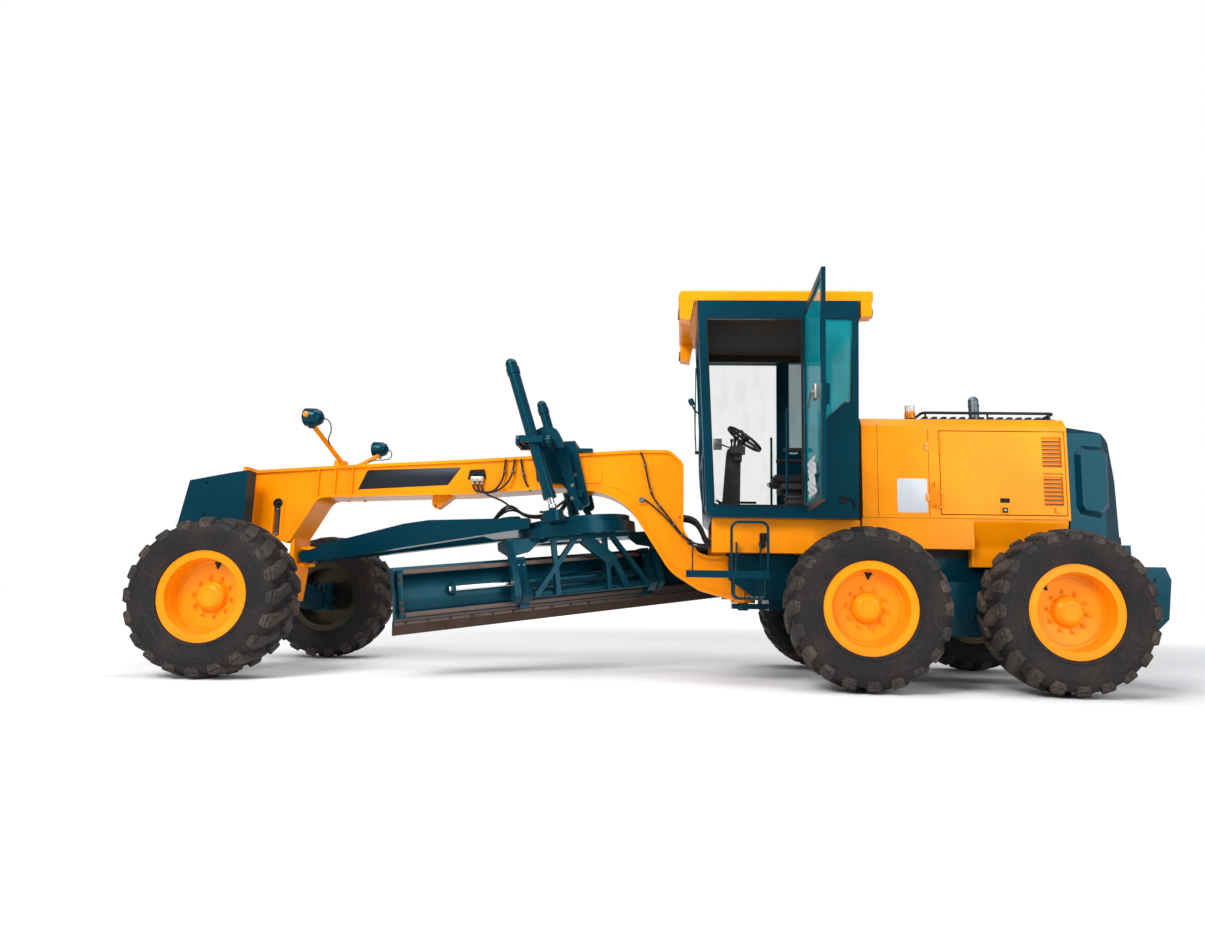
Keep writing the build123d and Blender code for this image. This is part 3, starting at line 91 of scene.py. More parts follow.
ahead, right, up = Vector((0, -1, 0)), Vector((-1, 0, 0)), Vector((0, 0, 1))
right, ahead = turned(right, ahead, YAW)
ahead, up = turned(ahead, up, PITCH)
right, up = turned(right, up, ROLL)
camera_data = bpy.data.cameras.new("camera")
camera_data.sensor_width = SENSOR_MM
camera_data.lens = FOCAL_PX * SENSOR_MM / WIDTH_PX
camera_data.shift_x = (WIDTH_PX / 2 - CENTRE_PX[0]) / WIDTH_PX
camera_data.shift_y = (CENTRE_PX[1] - HEIGHT_PX / 2) / WIDTH_PX
camera_data.clip_end = 200
camera = bpy.data.objects.new("camera", camera_data)
turn = Matrix((right, up, -ahead)).transposed().to_4x4()
camera.matrix_world = Matrix.Translation(CAMERA_AT) @ turn
bpy.context.scene.collection.objects.link(camera)
bpy.context.scene.camera = camera
print("camera at", CAMERA_AT, "lens", round(camera_data.lens, 2))

# %% Light, background and floor
scene = bpy.context.scene
scene.view_settings.view_transform = "Standard"
world = bpy.data.worlds.new("studio")
world.use_nodes = True
scene.world = world
tree = world.node_tree
tree.nodes.clear()
paths = tree.nodes.new("ShaderNodeLightPath")
direct = tree.nodes.new("ShaderNodeMath")
direct.operation = "MAXIMUM"
for number, ray in enumerate(("Is Camera Ray", "Is Transmission Ray")):
    tree.links.new(paths.outputs[ray], direct.inputs[number])
mixer = tree.nodes.new("ShaderNodeMixShader")
tree.links.new(direct.outputs[0], mixer.inputs[0])
# Colour and strength of the soft world that gives light, then of the white one that is seen
WORLDS = [((0.93, 0.95, 1.0, 1), 0.44), ((1, 1, 1, 1), 1.0)]
for number, (colour, strength) in enumerate(WORLDS, 1):
    backdrop = tree.nodes.new("ShaderNodeBackground")
    backdrop.inputs["Color"].default_value = colour
    backdrop.inputs["Strength"].default_value = strength
    tree.links.new(backdrop.outputs[0], mixer.inputs[number])
world_out = tree.nodes.new("ShaderNodeOutputWorld")
tree.links.new(mixer.outputs[0], world_out.inputs["Surface"])

# Lamps: name, place, aimed at, power in watts, size in metres
LAMPS = [
    ("key", (6.5, 9.0, 8.5), (2.0, 0, 1.2), 1350, 5),
    ("fill", (-6.0, 8.0, 4.0), (0.5, 0, 1.2), 420, 6),
    ("top", (1.5, 0.0, 10.0), (1.5, 0, 0), 560, 8),
]
for name, place, target, power, size in LAMPS:
    lamp = bpy.data.lights.new(name, "AREA")
    lamp.energy, lamp.size = power, size
    lamp_object = bpy.data.objects.new(name, lamp)
    aim = (Vector(target) - Vector(place)).to_track_quat("-Z", "Y").to_matrix().to_4x4()
    lamp_object.matrix_world = Matrix.Translation(place) @ aim
    scene.collection.objects.link(lamp_object)
print(len(LAMPS), "lamps and a white background")

# %% [markdown]
# ## Materials
#
# Each finish is a small node graph on object coordinates. `Wire` lets a socket be added and multiplied like a
# number, so each finish reads as a formula: a base colour, a slow change of tone, dust that gathers low down,
# dirt that runs downwards, and chips.

# %% Sockets that add up like numbers


class Wire:
    """A node socket that can be added, multiplied and mixed like a number."""

    def __init__(self, tree, socket=None):
        self.tree, self.socket = tree, socket

    def node(self, kind, output=0, feeds=None, **settings):
        """Add a node, set it, feed its inputs by name or number, and give the output asked for."""
        made = self.tree.nodes.new(kind)
        for key, value in settings.items():
            setattr(made, key, value)
        for key, value in (feeds or {}).items():
            if isinstance(value, Wire):
                self.tree.links.new(value.socket, made.inputs[key])
            else:
                made.inputs[key].default_value = value
        return Wire(self.tree, made.outputs[output])

    def math(self, operation, other=0.0):
        return self.node("ShaderNodeMath", feeds={0: self, 1: other}, operation=operation)

    def __add__(self, other):
        return self.math("ADD", other)

    def __mul__(self, other):
        return self.math("MULTIPLY", other)

    def over(self, low, high):
        """0 below low, 1 above high, smooth between. With low above high it runs the other way."""
        return self.node("ShaderNodeMapRange", feeds={"Value": self, "From Min": low, "From Max": high},
                         interpolation_type="SMOOTHSTEP", clamp=True)

    def pick(self, first, second):
        """first where this is 0, second where it is 1."""
        ends = [end if isinstance(end, Wire) else (*end, 1) for end in (first, second)]
        return self.node("ShaderNodeMix", 2, {0: self, 6: ends[0], 7: ends[1]}, data_type="RGBA")

    def noise(self, scale, detail=3.0, stretch=None):
        """Noise on this position, coarser along an axis that stretch makes small."""
        place = self
        if stretch:
            place = self.node("ShaderNodeMapping", feeds={"Vector": self, "Scale": stretch})
        return place.node("ShaderNodeTexNoise", feeds={"Vector": place, "Scale": scale, "Detail": detail})

    def cells(self, scale):
        """Distance to the nearest cell centre."""
        return self.node("ShaderNodeTexVoronoi", feeds={"Vector": self, "Scale": scale})


class Finish(Wire):
    """A material whose colour, roughness and bump are filled in by its maker."""

    def __init__(self, name, **constants):
        self.material = bpy.data.materials.new(name)
        self.material.use_nodes = True
        super().__init__(self.material.node_tree)
        self.shader = self.tree.nodes["Principled BSDF"]
        for key, value in constants.items():
            self.shader.inputs[key.replace("_", " ")].default_value = value
        self.place = self.node("ShaderNodeTexCoord", "Object")
        self.height = self.node("ShaderNodeSeparateXYZ", "Z", {0: self.place})

    def feed(self, **wires):
        """Link or set the shader's inputs and give the material."""
        for key, wire in wires.items():
            target = self.shader.inputs[key.replace("_", " ")]
            if isinstance(wire, Wire):
                self.tree.links.new(wire.socket, target)
            else:
                target.default_value = wire
        return self.material

    def bump(self, height, strength, distance=0.001):
        return self.node("ShaderNodeBump", feeds={"Height": height, "Strength": strength, "Distance": distance})


# %% Finishes
DUST_COLOUR, CHIP_COLOUR = (0.30, 0.22, 0.15), (0.10, 0.07, 0.05)
INBOARD_SHADE_Y = (1.036, 1.026)  # paint nearer the machine's middle than this gets painted shade, the shadowed inner side of a rim


def paint(name, colour, rough=0.32, dust=0.35, dirt=0.25, chips=0.0, top=2.0, coat=0.10, sheen=(1.0, 1.0, 1.0),
          inboard_shade=None):
    """Sprayed enamel: slow tone changes, dust that thickens towards the ground, runs of dirt, chipped spots, painted
    shade inboard.
    """
    f = Finish(name, IOR=1.45, Coat_Roughness=0.12, Specular_Tint=(*sheen, 1))
    dark = tuple(c * 0.80 for c in colour)
    dusty = tuple(0.55 * c + 0.45 * d for c, d in zip(colour, DUST_COLOUR))
    tone = f.place.noise(1.7, 4)
    low = f.height.over(top, 0.0)
    grain = f.place.noise(9, 6)
    film = (low * 0.7 + grain * 0.6).over(0.45, 1.15) * dust
    runs = f.place.noise(6, 5, (5.0, 5.0, 0.45)).over(0.56, 0.78) * dirt
    base = tone.over(0.35, 0.72).pick(dark, colour)
    base = film.pick(base, dusty)
    base = runs.pick(base, tuple(c * 0.45 for c in colour))
    scuffs = f.place.noise(38, 8).over(0.70 - 0.06 * chips, 0.76 - 0.06 * chips) * (low + 0.35) * chips
    base = scuffs.pick(base, CHIP_COLOUR)
    if inboard_shade:  # painted shade: a darker colour where the paint faces the machine's middle or lies near it, as on a rim's inner side in shadow
        sideways = f.node("ShaderNodeSeparateXYZ", "Y", {0: f.place})
        facing = f.node("ShaderNodeSeparateXYZ", "Y", {0: f.node("ShaderNodeTexCoord", "Normal")}) * sideways
        shade_mask = facing.over(-0.25, -0.45).math("MAXIMUM", sideways.math("ABSOLUTE").over(*INBOARD_SHADE_Y))
        base = shade_mask.pick(base, inboard_shade)
    peel = f.place.noise(160, 2) * 0.4 + grain * 0.3
    gloss = film * 0.5 + runs * 0.4 + tone * 0.10 + rough
    return f.feed(Base_Color=base, Roughness=gloss, Coat_Weight=(film + runs) * -coat + coat,
                  Normal=f.bump(peel, 0.12, 0.0012))


def rubber(name, colour=(0.020, 0.018, 0.018), soil=(0.105, 0.072, 0.050), amount=0.6):
    """Matt black rubber with brown soil in patches."""
    f = Finish(name, IOR=1.45, Specular_IOR_Level=0.22)
    broad = f.place.noise(3.2, 5)
    fine = f.place.noise(45, 6)
    dirt = (broad * 0.6 + fine * 0.5).over(0.48, 0.72) * amount
    base = dirt.pick(colour, soil)
    base = fine.over(0.58, 0.70).pick(base, tuple(c * 1.9 for c in colour))
    return f.feed(Base_Color=base, Roughness=dirt * 0.25 + 0.62, Normal=f.bump(fine + broad, 0.35, 0.003))


def metal(name, colour, rough=0.3, rust=0.0, rust_colour=(0.16, 0.075, 0.035), scratch=0.3):
    """Bare metal with rust bloom and fine scratches along the machine."""
    f = Finish(name, Metallic=1.0)
    bloom = f.place.noise(7, 6) * 0.7 + f.place.noise(60, 4) * 0.4
    spread = bloom.over(0.80 - 0.55 * rust, 0.98 - 0.45 * rust)
    lines = f.place.noise(60, 3, (0.15, 0.15, 5.0))
    base = lines.pick(tuple(c * 0.72 for c in colour), colour)
    base = spread.pick(base, rust_colour)
    return f.feed(Base_Color=base, Metallic=spread * -0.85 + 1.0,
                  Roughness=lines * scratch + spread * 0.35 + rough, Normal=f.bump(lines + bloom, 0.18, 0.001))


def plastic(name, colour, rough=0.5, grain=220, dust=0.2):
    """Moulded plastic with a fine grain and a little dust."""
    f = Finish(name, IOR=1.46)
    grainy = f.place.cells(grain)
    film = f.place.noise(6, 5).over(0.45, 0.8) * dust
    base = film.pick(colour, (0.20, 0.16, 0.12))
    return f.feed(Base_Color=base, Roughness=film * 0.4 + grainy * 0.12 + rough, Normal=f.bump(grainy, 0.25, 0.0008))


def cloth(name, colour, thread=0.0022):
    """Woven seat cloth: two sets of threads, crossing, with a darker gap between them."""
    f = Finish(name, Sheen_Weight=0.08, Sheen_Roughness=0.5, Specular_IOR_Level=0.2)
    axes = [f.node("ShaderNodeSeparateXYZ", axis, {0: f.place}) for axis in "XYZ"]
    waves = [(axis * (math.tau / thread)).math("SINE") for axis in axes]
    weave = (waves[0] * waves[1]).math("ADD", waves[2] * waves[1])
    worn = f.place.noise(11, 5)
    base = weave.over(-0.8, 0.8).pick(tuple(c * 0.55 for c in colour), colour)
    base = (worn.over(0.5, 0.8) * 0.5).pick(base, tuple(c * 1.6 + 0.01 for c in colour))
    return f.feed(Base_Color=base, Roughness=worn * 0.2 + 0.75, Normal=f.bump(weave, 0.4, 0.0006))


def tinted(name, colour, alpha):
    """Tinted window glass with dust in broad streaks."""
    f = Finish(name, IOR=1.45, Roughness=0.04)
    film = f.place.noise(3, 5, (2.0, 2.0, 0.7)).over(0.45, 0.85)
    base = film.pick(colour, tuple(c * 1.25 + 0.02 for c in colour))
    return f.feed(Base_Color=base, Alpha=film * 0.10 + alpha, Roughness=film * 0.12 + 0.03)


def lens(name, colour):
    """Ribbed lamp lens."""
    f = Finish(name, IOR=1.45, Coat_Weight=0.25, Specular_IOR_Level=0.3)
    ribs = f.place.cells(90)
    return f.feed(Base_Color=ribs.over(0.1, 0.7).pick(colour, tuple(c * 0.6 for c in colour)),
                  Roughness=ribs * 0.2 + 0.08, Normal=f.bump(ribs, 0.5, 0.002))


ORANGE, TEAL = (1.0, 0.290, 0.0), (0.0, 0.022, 0.038)
WARM, COOL = (1.0, 0.72, 0.25), (0.08, 0.62, 0.85)  # tints of the reflections on orange and on teal
M = {
    "yellow_paint": paint("enamel_orange", ORANGE, rough=0.26, dust=0.05, dirt=0.10, chips=0.12, top=1.2, sheen=WARM),
    "teal_paint": paint("enamel_teal", TEAL, rough=0.28, dust=0.07, dirt=0.10, chips=0.30, top=1.5, sheen=COOL),
    "black_paint": paint("enamel_black", (0.007, 0.009, 0.011), rough=0.36, dust=0.10, dirt=0.2, chips=0.2, coat=0.0,
                         sheen=(0.5, 0.6, 0.7)),
    # The rim's side towards the machine's middle takes a near-black teal, painted shade for the wheel's shadowed
    # inside.
    "rim_paint": paint("enamel_rim", (1.0, 0.285, 0.002), rough=0.30, dust=0.07, dirt=0.12, chips=0.4, top=1.0,
                       sheen=WARM, inboard_shade=(0.006, 0.012, 0.015)),
    # The carcass rubber is a darker copy of the lugs' rubber: painted shade in the grooves between the lugs, and less
    # soil.
    "tyre_rubber": rubber("tyre_rubber", (0.011, 0.010, 0.011), (0.055, 0.036, 0.027), 0.45),
    "lug_rubber": rubber("lug_rubber", (0.022, 0.020, 0.020), (0.110, 0.078, 0.058), 0.75),
    "tinted_glass": tinted("window_glass", (0.0, 0.27, 0.31), 0.55),
    "clear_glass": tinted("clear_glass", (0.45, 0.60, 0.62), 0.10),
    "lamp_lens": lens("lamp_lens", (0.75, 0.72, 0.66)),
    "amber_lens": lens("amber_lens", (0.95, 0.30, 0.01)),
    "red_lens": lens("red_lens", (0.45, 0.01, 0.01)),
    "seat_fabric": cloth("seat_cloth", (0.018, 0.020, 0.022)),
    "console_plastic": plastic("console_plastic", (0.014, 0.015, 0.016)),
    "headliner": cloth("headliner", (0.030, 0.017, 0.010), 0.004),
    "engine_iron": metal("engine_iron", (0.12, 0.12, 0.12), 0.5, 0.35),
    "chrome_rod": metal("chrome_rod", (0.80, 0.82, 0.84), 0.08, 0.0, scratch=0.12),
    "worn_steel": metal("worn_steel", (0.10, 0.070, 0.055), 0.45, 0.60, rust_colour=(0.060, 0.026, 0.014)),
    "brown_wear": metal("brown_wear", (0.17, 0.12, 0.10), 0.40, 0.45, rust_colour=(0.10, 0.05, 0.03)),
    "bright_wear": metal("bright_wear", (0.45, 0.42, 0.40), 0.30, 0.25),
    "pipe_steel": metal("pipe_steel", (0.16, 0.19, 0.21), 0.35, 0.30),
    "zinc_bolt": metal("zinc_bolt", (0.55, 0.52, 0.45), 0.30, 0.15),
    "hose_rubber": rubber("hose_rubber", (0.012, 0.012, 0.013), (0.06, 0.05, 0.04), 0.3),
    "seal_rubber": rubber("seal_rubber", (0.008, 0.008, 0.009), (0.05, 0.04, 0.03), 0.2),
    "plate_white": paint("notice_white", (0.62, 0.66, 0.70), rough=0.45, dust=0.10, dirt=0.10, coat=0.0),
    "film_plastic": plastic("film_plastic", (0.42, 0.44, 0.45), 0.28, 90, 0.3),
}
print(len(M), "finishes")

# %% [markdown]
# ## Shape helpers
#
# Every piece is one mesh made with bmesh operators, with its place in its vertices and its object at the origin.
# A part is shaped near the origin, where its numbers are easy to read, and a matrix puts it on the machine.

# %% Helpers for rounded boxes, turned parts, plates and bolts


def finish_mesh(name, work, material, body, smooth=35):
    """Turn a bmesh into an object with one material that rides on a body, if one is named."""
    bmesh.ops.recalc_face_normals(work, faces=work.faces)
    mesh = bpy.data.meshes.new(name)
    work.to_mesh(mesh)
    work.free()
    mesh.materials.append(M[material])
    mesh.shade_smooth()
    mesh.set_sharp_from_angle(angle=math.radians(smooth))
    made = bpy.data.objects.new(name, mesh)
    scene.collection.objects.link(made)
    if body:
        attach(made, body)
    return made


def join_into(work, part, matrix=None):
    """Add one bmesh to another, moved by a matrix."""
    if matrix:
        bmesh.ops.transform(part, matrix=matrix, verts=part.verts)
    carrier = bpy.data.meshes.new("carrier")
    part.to_mesh(carrier)
    part.free()
    work.from_mesh(carrier)
    bpy.data.meshes.remove(carrier)


def frame_at(at, direction, roll_to=(0, 0, 1)):
    """A matrix whose Z points along a direction and whose place is a point."""
    z = Vector(direction).normalized()
    side = Vector(roll_to).cross(z)
    if side.length < 1e-4:
        side = Vector((1, 0, 0)).cross(z)
    if side.length < 1e-4:
        side = Vector((0, 1, 0)).cross(z)
    x = side.normalized()
    return Matrix.Translation(at) @ Matrix((x, z.cross(x), z)).transposed().to_4x4()


def side_matrix(y, outward=1):
    """Drawing plane on the machine's side at a Y: x forward, y up, raised outwards."""
    return Matrix(((1, 0, 0, 0), (0, 0, outward, y), (0, 1, 0, 0), (0, 0, 0, 1)))


def add_box(work, low, high, bevel=0.004, matrix=None, segments=2):
    """A box with rounded edges."""
    size = [max(b - a, 1e-4) for a, b in zip(low, high)]
    part = bmesh.new()
    bmesh.ops.create_cube(part, size=1.0)
    bmesh.ops.scale(part, vec=size, verts=part.verts)
    bmesh.ops.translate(part, vec=[(a + b) / 2 for a, b in zip(low, high)], verts=part.verts)
    bmesh.ops.bevel(part, geom=part.edges[:], offset=min(bevel, min(size) * 0.45), segments=segments, profile=0.5,
                    affect="EDGES", clamp_overlap=True, material=-1)
    join_into(work, part, matrix)


def add_lathe(work, profile, matrix, steps=32, closed=False):
    """A profile of (radius, height) spun about the matrix's Z axis."""
    part = bmesh.new()
    line = [part.verts.new((radius, 0, height)) for radius, height in profile]
    edges = [part.edges.new(pair) for pair in zip(line, line[1:] + (line[:1] if closed else []))]
    bmesh.ops.spin(part, geom=line + edges, cent=(0, 0, 0), axis=(0, 0, 1), dvec=(0, 0, 0), angle=math.tau,
                   steps=steps, use_merge=True)
    bmesh.ops.remove_doubles(part, verts=part.verts, dist=1e-6)
    join_into(work, part, matrix)


def add_rod(work, start, end, radius, steps=20, bevel=0.003):
    """A round bar with rounded ends."""
    length = (Vector(end) - Vector(start)).length
    b = min(bevel, radius * 0.5, length * 0.4)
    profile = [(0, 0), (radius - b, 0), (radius, b), (radius, length - b), (radius - b, length), (0, length)]
    add_lathe(work, profile, frame_at(start, Vector(end) - Vector(start)), steps)


def add_plate(work, outline, thickness, matrix, bevel=0.003, segments=2):
    """A flat plate: an outline in the matrix's XY plane, raised along its Z, edges rounded."""
    part = bmesh.new()
    face = part.faces.new([part.verts.new((x, y, 0)) for x, y in outline])
    raised = bmesh.ops.extrude_face_region(part, geom=[face])["geom"]
    top = [g for g in raised if isinstance(g, bmesh.types.BMVert)]
    bmesh.ops.translate(part, vec=(0, 0, thickness), verts=top)
    if bevel:
        bmesh.ops.bevel(part, geom=part.edges[:], offset=min(bevel, thickness * 0.45), segments=segments,
                        profile=0.5, affect="EDGES", clamp_overlap=True, material=-1)
    join_into(work, part, matrix)


def rounded(x0, x1, y0, y1, radius, steps=4):
    """The outline of a rectangle with round corners."""
    points = []
    for cx, cy, start in ((x1 - radius, y1 - radius, 0), (x0 + radius, y1 - radius, 1), (x0 + radius, y0 + radius, 2),
                          (x1 - radius, y0 + radius, 3)):
        for i in range(steps + 1):
            a = math.pi / 2 * (start + i / steps)
            points.append((cx + radius * math.cos(a), cy + radius * math.sin(a)))
    return points


def mirrored(points, sign):
    """The left side's points on the side that the sign names."""
    return [(x, sign * y, z) for x, y, z in points]


def add_bolt(work, at, direction, size=0.012, tall=0.010, washer=True):
    """A hexagon head on a washer, standing on a surface."""
    matrix = frame_at(at, direction) @ Matrix.Rotation(random.uniform(0, math.tau), 4, "Z")
    if washer:
        bmesh.ops.create_cone(work, cap_ends=True, segments=16, radius1=size * 1.3, radius2=size * 1.22,
                              depth=tall * 0.2, matrix=matrix @ Matrix.Translation((0, 0, tall * 0.1)))
    bmesh.ops.create_cone(work, cap_ends=True, segments=6, radius1=size, radius2=size * 0.9, depth=tall,
                          matrix=matrix @ Matrix.Translation((0, 0, tall * 0.5)))


def add_tube(work, points, radius, sides=3, smooth=True):
    """A round tube along a smooth curve, with closed ends."""
    curve = bpy.data.curves.new("run", "CURVE")
    curve.dimensions, curve.use_fill_caps, curve.resolution_u = "3D", True, 8
    curve.bevel_depth, curve.bevel_resolution = radius, sides
    spline = curve.splines.new("NURBS" if smooth else "POLY")
    spline.points.add(len(points) - 1)
    for point, place in zip(spline.points, points):
        point.co = (*place, 1)
    spline.order_u, spline.use_endpoint_u = 3, True
    holder = bpy.data.objects.new("run", curve)
    mesh = bpy.data.meshes.new_from_object(holder)
    work.from_mesh(mesh)
    bpy.data.meshes.remove(mesh)
    bpy.data.objects.remove(holder)
    bpy.data.curves.remove(curve)


SLOT_OF = {part["node"]: part["material_slot"] for part in RECORD["subparts"]}
FINISH_OF = {"door_glass_right": "clear_glass"}  # nodes whose finish isn't their slot's usual one
for node, item in NODES.items():
    item.data.materials.clear()
    item.data.materials.append(M[FINISH_OF.get(node, SLOT_OF[node])])
print("every CAD node has its finish")

# %% [markdown]
# ## Wheels
#
# A grader tyre has deep lugs that sweep in from each shoulder and stop short of the middle, one side half a
# pitch behind the other. The carcass is a spun profile. One lug is bridged through a few six-sided loops, from
# the middle out and down the sidewall, and a spin with duplicates sets twenty round the tyre.

# %% Tyres
TYRE_R, LUG_COUNT = 0.655, 20
LUG_SINK = 0.0012  # the lugs stay this far inside the solid tyre
PITCH_OF_LUGS = math.tau / LUG_COUNT
WHEELS = [(f"{place}_{side}", sign) for place in ("front", "middle", "rear") for side, sign in SIDES]


def crown(y):
    """Outer radius of the tread at a distance from the middle."""
    return TYRE_R - LUG_SINK - 0.030 * abs(y / 0.205) ** 3.2


def lug_ring(side):
    """One side's lugs round the origin, the wheel's axis along Z."""
    part = bmesh.new()
    # Stations of a lug: distance from the middle, sweep and half width in parts of a pitch
    stations = [(0.012, 0.40, 0.10), (0.030, 0.40, 0.20), (0.060, 0.36, 0.235), (0.095, 0.27, 0.235),
                (0.130, 0.15, 0.24), (0.165, 0.05, 0.255), (0.195, 0.0, 0.27), (0.2105, 0.0, 0.27)]
    loops = []
    for y, sweep, wide in stations:
        top = crown(y)
        low = min(0.612, top - 0.008) - (0.012 if y > 0.19 else 0)
        a, w, edge = sweep * PITCH_OF_LUGS, wide * PITCH_OF_LUGS, 0.0095
        loops.append([(a - w - 0.016, low, y), (a - w, top - 0.006, y), (a - w + edge, top, y),
                      (a + w - edge, top, y), (a + w, top - 0.006, y), (a + w + 0.016, low, y)])
    # The shoulder end turns down the sidewall
    for radius, y, wide in ((0.602, 0.2155, 0.27), (0.580, 0.2205, 0.25), (0.556, 0.2208, 0.22)):
        w = wide * PITCH_OF_LUGS
        loops.append([(-w - 0.012, radius - 0.004, y - 0.012), (-w, radius, y - 0.002), (-w + 0.01, radius, y),
                      (w - 0.01, radius, y), (w, radius, y - 0.002), (w + 0.012, radius - 0.004, y - 0.012)])
    rings = []
    for loop in loops:
        verts = [part.verts.new((r * math.cos(a), r * math.sin(a), side * y)) for a, r, y in loop]
        rings.append([part.edges.new(pair) for pair in zip(verts, verts[1:] + verts[:1])])
    for lower, upper in zip(rings, rings[1:]):
        bmesh.ops.bridge_loops(part, edges=lower + upper)
    bmesh.ops.holes_fill(part, edges=rings[0] + rings[-1], sides=6)
    bmesh.ops.spin(part, geom=part.verts[:] + part.edges[:] + part.faces[:], cent=(0, 0, 0), axis=(0, 0, 1),
                   dvec=(0, 0, 0), angle=math.tau - PITCH_OF_LUGS, steps=LUG_COUNT - 1, use_duplicate=True)
    return part


# Carcass: radius and distance from the middle, from one bead to the middle of the tread
HALF_TYRE = [(0.372, 0.186), (0.384, 0.197), (0.398, 0.199), (0.404, 0.194), (0.412, 0.195), (0.418, 0.1985),
             (0.424, 0.199), (0.430, 0.1985), (0.440, 0.204), (0.490, 0.2165), (0.512, 0.2182), (0.518, 0.2205),
             (0.526, 0.2207), (0.532, 0.2188), (0.560, 0.2165), (0.580, 0.210), (0.598, 0.198), (0.610, 0.170),
             (0.6135, 0.090), (0.6145, 0.0)]
CENTRES = {}
for wheel, sign in WHEELS:
    low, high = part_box(f"tyre_{wheel}")
    centre = ((low.x + high.x) / 2, (low.y + high.y) / 2, TYRE_R)
    CENTRES[wheel] = centre
    place = frame_at(centre, (0, sign, 0))
    work = bmesh.new()
    add_lathe(work, HALF_TYRE + [(r, -y) for r, y in reversed(HALF_TYRE[:-1])], place, 96)
    # The carcass takes the darker rubber, painted shade where it shows in the grooves.
    tyre = finish_mesh(f"carcass_{wheel}", work, "tyre_rubber", f"wheel_{wheel}", smooth=38)
    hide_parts(f"tyre_{wheel}")
    work = bmesh.new()
    join_into(work, lug_ring(1), place)
    join_into(work, lug_ring(-1), place @ Matrix.Rotation(PITCH_OF_LUGS / 2, 4, "Z"))
    tyre = finish_mesh(f"tread_{wheel}", work, "lug_rubber", f"wheel_{wheel}", smooth=32)
    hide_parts(f"tyre_{wheel}")
print("six tyres,", len(tyre.data.polygons), "faces in each tread")

# %% Rim trim: wheel nuts, hub cover and the hand hole
NUT_COUNT, NUT_CIRCLE = 10, 0.158
HOLE_TURN = {"front": 0.12, "middle": 0.05, "rear": -0.75}  # how far each wheel has rolled, in radians
for wheel, sign in WHEELS:
    cx, cy, cz = CENTRES[wheel]
    out = Vector((0, sign, 0))
    hub_place = frame_at((cx, cy, cz), out)
    work = bmesh.new()
    for k in range(NUT_COUNT):
        a = math.tau * (k + 0.3) / NUT_COUNT
        foot = Vector((cx + NUT_CIRCLE * math.sin(a), cy + sign * 0.0245, cz + NUT_CIRCLE * math.cos(a)))
        add_lathe(work, [(0, 0), (0.023, 0), (0.022, 0.005), (0.017, 0.007), (0, 0.007)], frame_at(foot, out), 18)
        add_bolt(work, foot + out * 0.006, out, 0.0155, 0.020, washer=False)
        add_rod(work, foot + out * 0.02, foot + out * 0.036, 0.0075, 10, 0.002)
    add_lathe(work, [(0.114, 0.060), (0.112, 0.0645), (0.104, 0.068), (0.092, 0.0865), (0.080, 0.094),
                     (0.060, 0.0965), (0.058, 0.092), (0.030, 0.090), (0, 0.092)], hub_place, 48)
    # Rings where the rim's steps turn: radius, depth, half width
    for radius, depth, wide in ((0.366, 0.1785, 0.005), (0.300, 0.122, 0.004), (0.262, 0.039, 0.003)):
        add_lathe(work, [(radius - wide, depth - 0.002), (radius - wide * 0.5, depth + 0.0015),
                         (radius + wide * 0.5, depth + 0.0015), (radius + wide, depth - 0.002)], hub_place, 72)
    finish_mesh(f"wheel_nuts_{wheel}", work, "rim_paint", f"wheel_{wheel}")
    # The hand hole near the rim's edge: a dark three-sided plate with its corners rounded, painted shade for the
    # shadowed inside of the wheel seen through the opening
    turn = HOLE_TURN[wheel.split("_")[0]] * sign
    hole_place = hub_place @ Matrix.Rotation(-turn, 4, "Z") @ Matrix.Translation((0, 0.256, 0.0355))
    work = bmesh.new()
    add_plate(work, [(-0.034, 0.027), (0.034, 0.027), (0.006, -0.030), (-0.006, -0.030)], 0.006,
              hole_place @ Matrix.Rotation(0.11, 4, "X"), 0.004)
    finish_mesh(f"hand_hole_shade_{wheel}", work, "seal_rubber", f"wheel_{wheel}", smooth=20)
print("nuts, hubs and hand holes on six rims")

# %% [markdown]
# ## Front frame
#
# The beam's side is a plain welded box, so its character comes from what is bolted and clipped to it: a dark
# panel, a valve with two ports, hoses with clamps, the headlamps' shells, and the bolts of the nose weight.

# %% Dark panels, valve block and nose bolts
for name, sign in SIDES:
    work = bmesh.new()
    add_plate(work, [(4.600, 1.684), (3.730, 1.738), (3.612, 1.906), (3.628, 1.912), (4.505, 1.876), (4.520, 1.868)],
              0.002, side_matrix(sign * 0.1502, sign), 0.0008)
    finish_mesh(f"beam_panel_{name}", work, "black_paint", "front_frame")

work = bmesh.new()
add_plate(work, [(3.360, 1.800), (3.540, 1.795), (3.520, 1.888), (3.380, 1.896)], 0.010, side_matrix(0.150), 0.003)
for x in (3.405, 3.490):
    add_lathe(work, [(0.034, 0.0), (0.036, 0.012), (0.030, 0.018), (0.018, 0.018), (0.016, 0.010), (0, 0.010)],
              frame_at((x, 0.158, 1.852), (0, 1, 0)), 24)
finish_mesh("port_plate", work, "seal_rubber", "front_frame")
work = bmesh.new()
add_box(work, (3.375, 0.150, 1.772), (3.500, 0.205, 1.818), 0.008)
for x in (3.395, 3.437, 3.480):
    add_rod(work, (x, 0.178, 1.742), (x, 0.178, 1.775), 0.011, 12)
    add_bolt(work, (x, 0.205, 1.795), (0, 1, 0), 0.009, 0.008)
finish_mesh("valve_block", work, "zinc_bolt", "front_frame")

work = bmesh.new()
for sign in (1, -1):
    for z in (1.34, 1.47, 1.60, 1.73, 1.83):
        add_bolt(work, (5.618, sign * 0.262, z), (-1, 0, 0), 0.013, 0.012)
finish_mesh("nose_bolts", work, "zinc_bolt", "front_frame")

